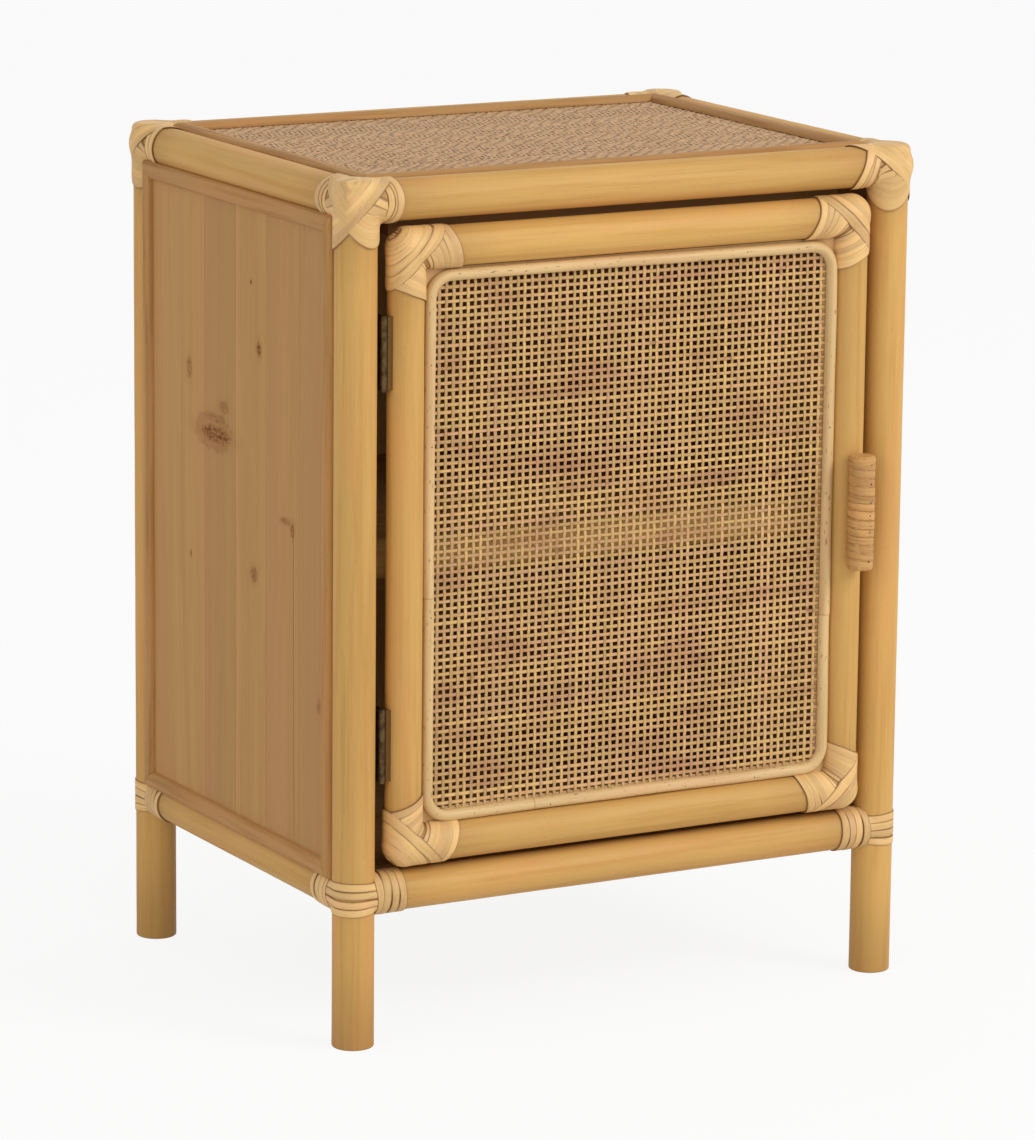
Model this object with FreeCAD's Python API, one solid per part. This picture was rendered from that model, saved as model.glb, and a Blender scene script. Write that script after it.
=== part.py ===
import FreeCAD, Part
import math
import os

# Bedside cabinet of rattan poles: four posts and eight rails bound with cane strip at the corners,
# pine panels edged with half-round cane, a shelf, and a hinged door of cane webbing.
# Millimetres. X runs to the right, Y to the back, Z up. The shapes are worked out about the centre of the
# four posts and moved at the end, so that the origin lies under the middle of the cabinet's box.

V = FreeCAD.Vector
LEFT, RIGHT = -1, 1
FRONT, BACK = -1, 1

# ---------------------------------------------------------------- driving dimensions

# Frame of poles
HEIGHT = 600.0
POST_SPACING_X = 420.2
POST_SPACING_Y = 313.8
POST_D = 29.3
RAIL_D = 28.8
BOTTOM_RAIL_Z = 107.3
FOOT_CHAMFER = 1.2

# Clearances
SEAT_GAP = 0.05
PANEL_GAP = 0.3
MOVING_GAP = 0.3

# Cane strip bindings
BINDING_T = 1.65
TOP_BINDING_REACH = 29.0
TOP_BINDING_DROP = 40.0
BAND_START = 13.0
BAND_END = 38.0
POST_BAND_BELOW = 10.5
POST_BAND_ABOVE = 16.0

# Panels and their half-round trims
PANEL_T = 9.0
PANEL_PROUD = 11.0
TRIM_W = 12.5
TRIM_H = 5.0
MAT_T = 1.5
BATTEN_SIDE = 15.0
BATTEN_END_GAP = 3.0

# Shelf
SHELF_ABOVE_FLOOR = 211.0
SHELF_POLE_D = 26.0
SHELF_SET_BACK = 30.9
SHELF_BOARD_DROP = 2.0

# Door
DOOR_DEPTH = 4.6
STILE_D = 25.5
DOOR_RAIL_D = 28.0
HINGE_SIDE_GAP = 8.1
HANDLE_SIDE_GAP = 5.8
DOOR_TOP_GAP = 4.7
DOOR_BOTTOM_GAP = 4.2
DOOR_CORNER_R = 15.0
DOOR_BINDING_T = 1.6
DOOR_BINDING_REACH_X = 39.6
DOOR_BINDING_REACH_Z = 36.0

# Door filling
WEBBING_T = 1.5
WEBBING_SET_FORWARD = 1.5
WEBBING_BAND_W = 15.0
WEBBING_SPACING = 30.5
BACKING_T = 4.0
BACKING_W = 9.2
RING_W = 8.0
RING_H = 4.7
RING_CORNER_R = 20.0
RING_SIDE_GAP = 0.3
RING_TOP_GAP = 1.8
RING_JOINT = 0.2
RING_JOINT_UP_LEFT = 158.4
RING_JOINT_UP_RIGHT = 115.4
RING_JOINT_ALONG_BOTTOM = 87.0

# Handle
HANDLE_D = 20.0
HANDLE_LENGTH = 81.5
HANDLE_ABOVE_DOOR_BOTTOM = 218.8
HANDLE_WRAP_T = 1.8
HANDLE_SCREW_INSET = 18.0

# Hinges
HINGE_ABOVE_DOOR_BOTTOM = 86.1
HINGE_BELOW_DOOR_TOP = 83.5
HINGE_HEIGHT = 50.0
HINGE_FORWARD = 3.5
KNUCKLE_D = 5.0
END_KNUCKLE_H = 13.0
KNUCKLE_GAP = 0.2
PIN_D = 2.4
PIN_RUNNING_GAP = 0.08
PIN_HEAD_D = 4.2
PIN_HEAD_H = 1.0
LEAF_T = 1.1
LEAF_W = 13.0
LEAF_SCREW_LINE = 8.1
LEAF_SCREW_INSET = 8.0
PACKER_W = 11.0
PACKER_FORWARD = 1.0
PACKER_EDGE_T = 3.9

# Magnetic catch
CATCH_FROM_STILE = 76.9
CATCH_SIZE = (46.0, 12.8, 13.0)
MAGNET_SIZE = (30.0, 8.8, 9.0)
MAGNET_PROUD = 0.2
STRIKE_SIZE = (36.0, 1.2, 9.6)
STRIKE_FLAT_DEPTH = 1.0
CATCH_SCREW_INSET = 4.0
STRIKE_SCREW_INSET = 5.0

# Screws: shank radius, head radius, head height, length
LONG_SCREW = (2.0, 4.0, 2.4, 50.0)
SMALL_SCREW = (1.2, 2.2, 1.0, 11.0)
HANDLE_SCREW_LENGTH = 38.0
SCREW_HEAD_INSET = 0.8
SCREW_CROSSING = 4.0

# Turn of a round bar's seam about its axis: where bars cross, seams in line make a cut fail
SEAM_TURN = 45.0

# Scraps of a cut binding smaller than this many cubic millimetres are trimmed off
SCRAP_VOLUME = 10.0

# ---------------------------------------------------------------- places worked out from them

POST_X = POST_SPACING_X / 2
POST_Y = POST_SPACING_Y / 2
POST_R = POST_D / 2
RAIL_R = RAIL_D / 2
TOP_RAIL_Z = HEIGHT - RAIL_R

STILE_R = STILE_D / 2
DOOR_RAIL_R = DOOR_RAIL_D / 2
DOOR_Y = -POST_Y - DOOR_DEPTH
DOOR_LEFT = -POST_X + POST_R + HINGE_SIDE_GAP
DOOR_RIGHT = POST_X - POST_R - HANDLE_SIDE_GAP
DOOR_BOTTOM = BOTTOM_RAIL_Z + RAIL_R + DOOR_BOTTOM_GAP
DOOR_TOP = TOP_RAIL_Z - RAIL_R - DOOR_TOP_GAP
HINGE_STILE_X = DOOR_LEFT + STILE_R
HANDLE_STILE_X = DOOR_RIGHT - STILE_R
DOOR_LOW_RAIL_Z = DOOR_BOTTOM + DOOR_RAIL_R
DOOR_HIGH_RAIL_Z = DOOR_TOP - DOOR_RAIL_R
WEBBING_Y = DOOR_Y - WEBBING_SET_FORWARD

KNUCKLE_R = KNUCKLE_D / 2
HINGE_X = -POST_X + POST_R + SEAT_GAP + KNUCKLE_R
HINGE_Y = DOOR_Y - HINGE_FORWARD
HINGE_Z = (DOOR_BOTTOM + HINGE_ABOVE_DOOR_BOTTOM, DOOR_TOP - HINGE_BELOW_DOOR_TOP)

HANDLE_R = HANDLE_D / 2
HANDLE_Y = DOOR_Y - STILE_R - SEAT_GAP - HANDLE_R
HANDLE_Z = DOOR_BOTTOM + HANDLE_ABOVE_DOOR_BOTTOM

# Faces of the panels: a panel stands PANEL_PROUD outside the axes of its poles
SIDE_FACE_X = POST_X + PANEL_PROUD
BACK_FACE_Y = POST_Y + PANEL_PROUD
TOP_MAT_Z = TOP_RAIL_Z + PANEL_PROUD
TOP_PANEL_Z = TOP_MAT_Z - MAT_T
FLOOR_TOP_Z = BOTTOM_RAIL_Z + RAIL_R - SEAT_GAP

FRONT_REACH = HANDLE_R - HANDLE_Y
BACK_REACH = POST_Y + POST_R + BINDING_T
ORIGIN_Y = (FRONT_REACH - BACK_REACH) / 2


def half_chord(radius, offset):
    """Half the width of a round pole, at the given distance from its axis."""
    return math.sqrt(radius ** 2 - offset ** 2)


def box(low, high):
    """Block between two opposite corners."""
    size = V(*high) - V(*low)
    return Part.makeBox(size.x, size.y, size.z, V(*low))


def turned(direction):
    """Rotation that points Z along a direction, with the seam of a round shape turned aside."""
    return FreeCAD.Rotation(V(0, 0, 1), V(*direction)).multiply(FreeCAD.Rotation(V(0, 0, 1), SEAM_TURN))


def rod(start, end, radius):
    """Round bar from one point to another."""
    along = V(*end) - V(*start)
    shape = Part.makeCylinder(radius, along.Length)
    shape.Placement = FreeCAD.Placement(V(*start), turned(along))
    return shape


def domed_rod(start, end, radius):
    """Round bar whose first end is a half ball about that point."""
    along = V(*end) - V(*start)
    slant = radius * math.sqrt(0.5)
    edges = [Part.Arc(V(0, 0, -radius), V(slant, 0, -slant), V(radius, 0, 0)).toShape(),
             Part.LineSegment(V(radius, 0, 0), V(radius, 0, along.Length)).toShape(),
             Part.LineSegment(V(radius, 0, along.Length), V(0, 0, along.Length)).toShape(),
             Part.LineSegment(V(0, 0, along.Length), V(0, 0, -radius)).toShape()]
    shape = Part.Face(Part.Wire(edges)).revolve(V(0, 0, 0), V(0, 0, 1), 360)
    shape.Placement = FreeCAD.Placement(V(*start), turned(along))
    return shape


def prism(points, normal, thickness):
    """Flat outline carried along its normal, half the thickness to each side."""
    wire = Part.makePolygon(points + [points[0]])
    wire.translate(normal * (-thickness / 2))
    return Part.Face(wire).extrude(normal * thickness)


# ---------------------------------------------------------------- screws


def screw(head, direction, kind, grow=0.0, pocket=0.0):
    """Countersunk screw with the middle of its head at a point. With grow it is the hole that takes it."""
    shank_r, head_r, head_h, length = kind
    cone = Part.makeCone(head_r + grow, shank_r + grow, head_h)
    shank = Part.makeCylinder(shank_r + grow, length - head_h + grow, V(0, 0, head_h))
    shape = cone.fuse(shank)
    if pocket:
        mouth = Part.makeCylinder(head_r + grow, pocket, V(0, 0, -pocket))
        shape = shape.fuse(mouth)
    shape.Placement = FreeCAD.Placement(V(*head), turned(direction))
    return shape


def screw_hole(head, direction, kind, pocket=4.0):
    """Hole for a screw, open behind its head."""
    return screw(head, direction, kind, SEAT_GAP, pocket)


def frame_screws():
    """Head and direction of the long screws, one through each post into each rail that meets it."""
    reach_x = POST_X + POST_R - SCREW_HEAD_INSET
    reach_y = POST_Y + POST_R - SCREW_HEAD_INSET
    found = []
    for z in (BOTTOM_RAIL_Z, TOP_RAIL_Z):
        for sx in (LEFT, RIGHT):
            for sy in (FRONT, BACK):
                found.append(((sx * reach_x, sy * POST_Y, z + SCREW_CROSSING), (-sx, 0, 0)))
                found.append(((sx * POST_X, sy * reach_y, z - SCREW_CROSSING), (0, -sy, 0)))
    return found


def door_corner_screws():
    """Head and direction of the long screws, one through each stile into each door rail."""
    found = []
    for z in (DOOR_LOW_RAIL_Z, DOOR_HIGH_RAIL_Z):
        found.append(((DOOR_LEFT + SCREW_HEAD_INSET, DOOR_Y, z), (1, 0, 0)))
        found.append(((DOOR_RIGHT - SCREW_HEAD_INSET, DOOR_Y, z), (-1, 0, 0)))
    return found


def handle_screws():
    """Head and direction of the two screws that pull the handle on to its stile."""
    back = DOOR_Y + STILE_R - SCREW_HEAD_INSET
    offset = HANDLE_LENGTH / 2 - HANDLE_SCREW_INSET
    return [((HANDLE_STILE_X, back, HANDLE_Z + s * offset), (0, -1, 0)) for s in (-1, 1)]


HANDLE_SCREW = LONG_SCREW[:3] + (HANDLE_SCREW_LENGTH,)


def leaf_screws(side):
    """Head and direction of the screws of both hinges' leaves on one side of the pin."""
    face = HINGE_X + side * (KNUCKLE_R - LEAF_T)
    spread = HINGE_HEIGHT / 2 - LEAF_SCREW_INSET
    found = []
    for hinge_z in HINGE_Z:
        for step in (-1, 0, 1):
            found.append(((face, HINGE_Y + LEAF_SCREW_LINE, hinge_z + step * spread), (side, 0, 0)))
    return found


# ---------------------------------------------------------------- frame poles


def post(sx, sy):
    """Corner post with its foot chamfered and the holes of its screws."""
    x, y = sx * POST_X, sy * POST_Y
    shape = rod((x, y, 0), (x, y, HEIGHT), POST_R)
    foot = [e for e in shape.Edges if e.BoundBox.ZMax < 0.1]
    shape = shape.makeChamfer(FOOT_CHAMFER, foot)
    holes = [screw_hole(p, d, LONG_SCREW) for p, d in frame_screws() if p[0] * sx > 0 and p[1] * sy > 0]
    if (sx, sy) == (LEFT, FRONT):
        holes += [screw_hole(p, d, SMALL_SCREW) for p, d in leaf_screws(LEFT)]
    return shape.cut(holes)


def posts_grown():
    """The four posts with their seating gap, to cut what meets them."""
    found = []
    for sx in (LEFT, RIGHT):
        for sy in (FRONT, BACK):
            x, y = sx * POST_X, sy * POST_Y
            found.append(rod((x, y, 0), (x, y, HEIGHT + SEAT_GAP), POST_R + SEAT_GAP))
    return found


def mitre_outline(half_length, reach, z):
    """Outline of a rail in plan, pointed at both ends so that two rails can meet at a post."""
    tip = half_length - SEAT_GAP
    shoulder = tip - reach
    return [V(-tip, 0, z), V(-shoulder, -reach, z), V(shoulder, -reach, z),
            V(tip, 0, z), V(shoulder, reach, z), V(-shoulder, reach, z)]


def rail(along_x, side, z):
    """Rail between two posts: mitred against its neighbours and hollowed to the round of the posts."""
    half_length = POST_X if along_x else POST_Y
    offset = side * (POST_Y if along_x else POST_X)
    shape = rod((-half_length, 0, z), (half_length, 0, z), RAIL_R)
    shape = shape.common(prism(mitre_outline(half_length, RAIL_D, z), V(0, 0, 1), 2 * RAIL_D))
    if not along_x:
        shape.rotate(V(0, 0, z), V(0, 0, 1), 90)
    shape.translate(V(0, offset, 0) if along_x else V(offset, 0, 0))
    holes = [screw_hole(p, d, LONG_SCREW) for p, d in frame_screws() if bool(d[0]) == along_x]
    return shape.cut(posts_grown() + holes)


# ---------------------------------------------------------------- panels and trims


def mitred_bar(length):
    """Half-round cane along X, mitred at both ends; its long side is on the outside, at Y = 0."""
    middle = V(0, TRIM_W / 2, TRIM_H)
    dome = Part.Arc(V(0, 0, 0), middle, V(0, TRIM_W, 0)).toShape()
    flat = Part.LineSegment(V(0, TRIM_W, 0), V(0, 0, 0)).toShape()
    bar = Part.Face(Part.Wire([dome, flat])).extrude(V(length, 0, 0))
    bar.translate(V(-length / 2, 0, 0))
    inner = length / 2 - TRIM_W
    outline = [V(-length / 2, 0, 0), V(length / 2, 0, 0), V(inner, TRIM_W, 0), V(-inner, TRIM_W, 0)]
    return bar.common(prism(outline, V(0, 0, 1), 4 * TRIM_H))


def trim_frame(size_u, size_v):
    """Four mitred trims round a rectangle in the XY plane, domes up."""
    bars = []
    for turn, length, offset in ((0, size_u, size_v / 2), (90, size_v, size_u / 2),
                                 (180, size_u, size_v / 2), (270, size_v, size_u / 2)):
        bar = mitred_bar(length)
        bar.translate(V(0, -offset, 0))
        bar.rotate(V(0, 0, 0), V(0, 0, 1), turn)
        bars.append(bar)
    return bars


def stand_up(shape, outward, middle):
    """Turn a shape that lies in the XY plane so that it stands upright and faces outward at a point."""
    normal = V(*outward)
    across = V(0, 0, 1).cross(normal)
    turn = FreeCAD.Rotation(across, V(0, 0, 1), normal, "XYZ")
    shape.Placement = FreeCAD.Placement(V(*middle), turn).multiply(shape.Placement)
    return shape


# Outer edges of the trims: where the round poles leave the panel's face
TRIM_EDGE_X = POST_X - half_chord(RAIL_R, PANEL_PROUD) - PANEL_GAP
TRIM_EDGE_Y = POST_Y - half_chord(RAIL_R, PANEL_PROUD) - PANEL_GAP
UPRIGHT_TRIM_X = POST_X - half_chord(POST_R, PANEL_PROUD) - PANEL_GAP
UPRIGHT_TRIM_Y = POST_Y - half_chord(POST_R, PANEL_PROUD) - PANEL_GAP
UPRIGHT_TRIM_LOW = BOTTOM_RAIL_Z + half_chord(RAIL_R, PANEL_PROUD) + PANEL_GAP
UPRIGHT_TRIM_HIGH = TOP_RAIL_Z - half_chord(RAIL_R, PANEL_PROUD) - PANEL_GAP
UPRIGHT_TRIM_MIDDLE = (UPRIGHT_TRIM_LOW + UPRIGHT_TRIM_HIGH) / 2

# Edges of the panels: just inside the poles
PANEL_X = POST_X - POST_R - PANEL_GAP
PANEL_Y = POST_Y - POST_R - PANEL_GAP
PANEL_LOW = BOTTOM_RAIL_Z + RAIL_R + PANEL_GAP
PANEL_HIGH = TOP_RAIL_Z - RAIL_R - PANEL_GAP
SIDE_INNER_X = SIDE_FACE_X - PANEL_T
BACK_INNER_Y = BACK_FACE_Y - PANEL_T


def side_panel(side, grow=0.0):
    """Upright panel between a front post and a back post."""
    low = (SIDE_INNER_X - grow, -PANEL_Y - grow, PANEL_LOW - grow)
    high = (SIDE_FACE_X + grow, PANEL_Y + grow, PANEL_HIGH + grow)
    shape = box(low, high)
    return shape if side == RIGHT else shape.mirror(V(0, 0, 0), V(1, 0, 0))


def back_panel(grow=0.0):
    """Upright panel between the two back posts."""
    low = (-PANEL_X - grow, BACK_INNER_Y - grow, PANEL_LOW - grow)
    return box(low, (PANEL_X + grow, BACK_FACE_Y + grow, PANEL_HIGH + grow))


def lying_panel(low_z, high_z, offset, grow=0.0):
    """Flat panel between the rails, whose edges clear them at the given distance from their axes."""
    x = POST_X - half_chord(RAIL_R, offset) - PANEL_GAP + grow
    y = POST_Y - half_chord(RAIL_R, offset) - PANEL_GAP + grow
    return box((-x, -y, low_z - grow), (x, y, high_z + grow))


def top_panel():
    """Panel under the mat."""
    low = TOP_PANEL_Z - PANEL_T
    return lying_panel(low, TOP_PANEL_Z, low - TOP_RAIL_Z)


def top_mat():
    """Woven mat that covers the top panel."""
    return lying_panel(TOP_PANEL_Z, TOP_MAT_Z, TOP_PANEL_Z - TOP_RAIL_Z)


def floor_panel(grow=0.0):
    """Bottom of the cabinet, level with the tops of the bottom rails."""
    low = FLOOR_TOP_Z - PANEL_T
    return lying_panel(low, FLOOR_TOP_Z, low - BOTTOM_RAIL_Z, grow)


def side_trim(side):
    """Trims of a side panel."""
    bars = trim_frame(2 * UPRIGHT_TRIM_Y, UPRIGHT_TRIM_HIGH - UPRIGHT_TRIM_LOW)
    middle = (side * SIDE_FACE_X, 0, UPRIGHT_TRIM_MIDDLE)
    return Part.makeCompound([stand_up(bar, (side, 0, 0), middle) for bar in bars])


def back_trim():
    """Trims of the back panel."""
    bars = trim_frame(2 * UPRIGHT_TRIM_X, UPRIGHT_TRIM_HIGH - UPRIGHT_TRIM_LOW)
    middle = (0, BACK_FACE_Y, UPRIGHT_TRIM_MIDDLE)
    return Part.makeCompound([stand_up(bar, (0, 1, 0), middle) for bar in bars])


def top_trim():
    """Trims round the mat, hollowed where they run past the posts."""
    bars = trim_frame(2 * TRIM_EDGE_X, 2 * TRIM_EDGE_Y)
    for bar in bars:
        bar.translate(V(0, 0, TOP_MAT_Z))
    return Part.makeCompound([bar.cut(posts_grown()) for bar in bars])


def upright_trim_space(side_x, side_y):
    """Space that the trims of the upright panels beside one corner take, with a gap."""
    gap = PANEL_GAP
    low_z = UPRIGHT_TRIM_LOW - gap
    high_z = UPRIGHT_TRIM_HIGH + gap
    reach_x = SIDE_FACE_X + TRIM_H + gap
    reach_y = BACK_FACE_Y + TRIM_H + gap
    y = UPRIGHT_TRIM_Y + gap
    spaces = [box((SIDE_FACE_X, -y, low_z), (reach_x, y, high_z))]
    if side_x == LEFT:
        spaces = [s.mirror(V(0, 0, 0), V(1, 0, 0)) for s in spaces]
    if side_y == BACK:
        x = UPRIGHT_TRIM_X + gap
        spaces.append(box((-x, BACK_FACE_Y, low_z), (x, reach_y, high_z)))
    return spaces


def top_space():
    """Space that the top panel, the mat and its trims take, with a gap."""
    x = TRIM_EDGE_X + PANEL_GAP
    y = TRIM_EDGE_Y + PANEL_GAP
    return box((-x, -y, TOP_PANEL_Z - PANEL_T - PANEL_GAP), (x, y, TOP_MAT_Z + 2 * TRIM_H))


# ---------------------------------------------------------------- bindings


def corner_poles(sx, sy, rail_z):
    """The post and two rails of one corner with their seating gap, to hollow a binding."""
    x, y = sx * POST_X, sy * POST_Y
    return [rod((x, y, 0), (x, y, HEIGHT + SEAT_GAP), POST_R + SEAT_GAP),
            rod((x, y, rail_z), (-x, y, rail_z), RAIL_R + SEAT_GAP),
            rod((x, y, rail_z), (x, -y, rail_z), RAIL_R + SEAT_GAP)]


def corner_spaces(sx, sy):
    """What the panels and trims take up beside one corner, with a gap."""
    spaces = [side_panel(sx, PANEL_GAP), top_space(), floor_panel(PANEL_GAP)]
    spaces += upright_trim_space(sx, sy)
    if sy == BACK:
        spaces.append(back_panel(PANEL_GAP))
    return spaces


def wrapped(parts, sx, sy, rail_z):
    """Binding made from overlapping sleeves: joined, hollowed over the poles and let round the panels."""
    shape = parts[0].fuse(parts[1:])
    shape = shape.cut(corner_poles(sx, sy, rail_z) + corner_spaces(sx, sy))
    return Part.makeCompound([solid for solid in shape.Solids if solid.Volume > SCRAP_VOLUME])


def top_binding(sx, sy):
    """Cane strip wound over the end of a post and the two top rails that meet it."""
    x, y = sx * POST_X, sy * POST_Y
    z = TOP_RAIL_Z
    sleeves = [rod((x, y, HEIGHT - TOP_BINDING_DROP), (x, y, HEIGHT + BINDING_T), POST_R + BINDING_T),
               rod((x, y, z), (x - sx * TOP_BINDING_REACH, y, z), RAIL_R + BINDING_T),
               rod((x, y, z), (x, y - sy * TOP_BINDING_REACH, z), RAIL_R + BINDING_T)]
    return wrapped(sleeves, sx, sy, z)


def bottom_binding(sx, sy):
    """Cane strip wound round the end of each bottom rail and carried round the post between them."""
    x, y = sx * POST_X, sy * POST_Y
    z = BOTTOM_RAIL_Z
    sleeves = [rod((x, y, z - POST_BAND_BELOW), (x, y, z + POST_BAND_ABOVE), POST_R + BINDING_T),
               rod((x - sx * BAND_START, y, z), (x - sx * BAND_END, y, z), RAIL_R + BINDING_T),
               rod((x, y - sy * BAND_START, z), (x, y - sy * BAND_END, z), RAIL_R + BINDING_T)]
    return wrapped(sleeves, sx, sy, z)


def rounded_outline(low_x, low_z, high_x, high_z, radius, y):
    """Closed wire of a rounded rectangle that stands upright at one depth."""
    corners = ((high_x, low_z, 0, -1, 1, 0), (high_x, high_z, 1, 0, 0, 1),
               (low_x, high_z, 0, 1, -1, 0), (low_x, low_z, -1, 0, 0, -1))
    bend = radius * math.sqrt(0.5)
    edges = []
    last = V(low_x + radius, y, low_z)
    for x, z, from_x, from_z, to_x, to_z in corners:
        side_x, side_z = from_x + to_x, from_z + to_z
        middle = V(x - side_x * radius, y, z - side_z * radius)
        first = middle + V(from_x * radius, 0, from_z * radius)
        end = middle + V(to_x * radius, 0, to_z * radius)
        edges.append(Part.LineSegment(last, first))
        edges.append(Part.Arc(first, middle + V(side_x * bend, 0, side_z * bend), end))
        last = end
    return Part.Wire([edge.toShape() for edge in edges])


def door_outline(grow):
    """Block with the door's outline, whose rounded corners trim the poles and bindings."""
    front = DOOR_Y - DOOR_RAIL_D
    wire = rounded_outline(DOOR_LEFT - grow, DOOR_BOTTOM - grow, DOOR_RIGHT + grow, DOOR_TOP + grow,
                           DOOR_CORNER_R + grow, front)
    return Part.Face(wire).extrude(V(0, 2 * DOOR_RAIL_D, 0))


def door_binding(stile_x, rail_z):
    """Cane strip wound over one corner of the door, rounded off where it goes round the stile."""
    inward = 1 if stile_x < 0 else -1
    downward = -1 if rail_z == DOOR_HIGH_RAIL_Z else 1
    corner = (stile_x, DOOR_Y, rail_z)
    x_end = stile_x + inward * DOOR_BINDING_REACH_X
    z_end = rail_z + downward * DOOR_BINDING_REACH_Z
    stile_end = rail_z - downward * (DOOR_RAIL_R + DOOR_BINDING_T)
    shape = rod((stile_x, DOOR_Y, stile_end), (stile_x, DOOR_Y, z_end), STILE_R + DOOR_BINDING_T)
    shape = shape.fuse(domed_rod(corner, (x_end, DOOR_Y, rail_z), DOOR_RAIL_R + DOOR_BINDING_T))
    shape = shape.common(door_outline(DOOR_BINDING_T))
    rail_start = stile_x - inward * SEAT_GAP
    core = rod((stile_x, DOOR_Y, DOOR_BOTTOM), (stile_x, DOOR_Y, DOOR_TOP), STILE_R + SEAT_GAP)
    core = core.fuse(rod((rail_start, DOOR_Y, rail_z), (-stile_x, DOOR_Y, rail_z), DOOR_RAIL_R + SEAT_GAP))
    shape = shape.cut(core.common(door_outline(SEAT_GAP)))
    return Part.makeCompound(shape.cut(filling_space()).Solids)


# ---------------------------------------------------------------- door poles and filling


def door_stile(stile_x):
    """Upright pole of the door, rounded at the outer corners, with the holes of its screws."""
    shape = rod((stile_x, DOOR_Y, DOOR_BOTTOM), (stile_x, DOOR_Y, DOOR_TOP), STILE_R)
    shape = shape.common(door_outline(0))
    holes = [screw_hole(p, d, LONG_SCREW) for p, d in door_corner_screws() if p[0] * stile_x > 0]
    if stile_x < 0:
        holes += [screw_hole(p, d, SMALL_SCREW) for p, d in leaf_screws(RIGHT)]
    else:
        holes += [screw_hole(p, d, HANDLE_SCREW) for p, d in handle_screws()]
    return shape.cut(holes)


def door_rail(rail_z):
    """Level pole of the door, hollowed at both ends to the round of the stiles."""
    shape = rod((DOOR_LEFT, DOOR_Y, rail_z), (DOOR_RIGHT, DOOR_Y, rail_z), DOOR_RAIL_R)
    shape = shape.common(door_outline(0))
    ends = STILE_R + DOOR_RAIL_R
    spaces = []
    for x, outward in ((HINGE_STILE_X, -1), (HANDLE_STILE_X, 1)):
        spaces.append(rod((x, DOOR_Y, 0), (x, DOOR_Y, HEIGHT), STILE_R + SEAT_GAP))
        spaces.append(box((min(x, x + outward * ends), DOOR_Y - DOOR_RAIL_D, rail_z - DOOR_RAIL_D),
                          (max(x, x + outward * ends), DOOR_Y + DOOR_RAIL_D, rail_z + DOOR_RAIL_D)))
    holes = [screw_hole(p, d, LONG_SCREW) for p, d in door_corner_screws()]
    if rail_z == DOOR_HIGH_RAIL_Z:
        spaces.append(strike_flat())
        holes += [screw_hole(p, d, SMALL_SCREW) for p, d in strike_screws()]
    return shape.cut(spaces).cut(holes)


# Opening between the door's poles, and the filling that is seated in it
FILL_LEFT = HINGE_STILE_X + STILE_R + PANEL_GAP
FILL_RIGHT = HANDLE_STILE_X - STILE_R - PANEL_GAP
FILL_LOW = DOOR_LOW_RAIL_Z + DOOR_RAIL_R + PANEL_GAP
FILL_HIGH = DOOR_HIGH_RAIL_Z - DOOR_RAIL_R - PANEL_GAP
RING_BASE_Y = WEBBING_Y - WEBBING_T
RING_LEFT = HINGE_STILE_X + half_chord(STILE_R, DOOR_Y - RING_BASE_Y) + RING_SIDE_GAP
RING_RIGHT = HANDLE_STILE_X - half_chord(STILE_R, DOOR_Y - RING_BASE_Y) - RING_SIDE_GAP
RING_LOW = DOOR_LOW_RAIL_Z + half_chord(DOOR_RAIL_R, DOOR_Y - RING_BASE_Y) + RING_SIDE_GAP
RING_HIGH = DOOR_HIGH_RAIL_Z - half_chord(DOOR_RAIL_R, DOOR_Y - RING_BASE_Y) - RING_TOP_GAP


def webbing_openings(low, high):
    """Low and high edge of each opening in one direction: equal spacing, less a band between neighbours."""
    span = high - low - 2 * BACKING_W
    count = max(round(span / WEBBING_SPACING), 1)
    spacing = span / count
    starts = [low + BACKING_W + WEBBING_BAND_W / 2 + number * spacing for number in range(count)]
    return [(start, start + spacing - WEBBING_BAND_W) for start in starts]


def webbing():
    """Sheet in the place of the woven cane, with a plain grid of openings, as open as the weave."""
    shape = box((FILL_LEFT, RING_BASE_Y, FILL_LOW), (FILL_RIGHT, WEBBING_Y, FILL_HIGH))
    front, back = RING_BASE_Y - WEBBING_T, WEBBING_Y + WEBBING_T
    openings = [box((left, front, low), (right, back, high))
                for left, right in webbing_openings(FILL_LEFT, FILL_RIGHT)
                for low, high in webbing_openings(FILL_LOW, FILL_HIGH)]
    return shape.cut(openings)


def backing_frame():
    """Four flat strips behind the webbing's edge: two uprights with the level ones between them."""
    front, back = WEBBING_Y, WEBBING_Y + BACKING_T
    w = BACKING_W
    strips = []
    for x in (FILL_LEFT, FILL_RIGHT - w):
        strips.append(box((x, front, FILL_LOW), (x + w, back, FILL_HIGH)))
    for z in (FILL_LOW, FILL_HIGH - w):
        strips.append(box((FILL_LEFT + w, front, z), (FILL_RIGHT - w, back, z + w)))
    return Part.makeCompound(strips)


def filling_space():
    """Space that the webbing, backing and ring take, with a gap."""
    low_x = min(FILL_LEFT, RING_LEFT) - SEAT_GAP
    high_x = max(FILL_RIGHT, RING_RIGHT) + SEAT_GAP
    low_z = min(FILL_LOW, RING_LOW) - SEAT_GAP
    high_z = max(FILL_HIGH, RING_HIGH) + SEAT_GAP
    return box((low_x, RING_BASE_Y - RING_H - PANEL_GAP, low_z),
               (high_x, WEBBING_Y + BACKING_T + PANEL_GAP, high_z))


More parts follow.
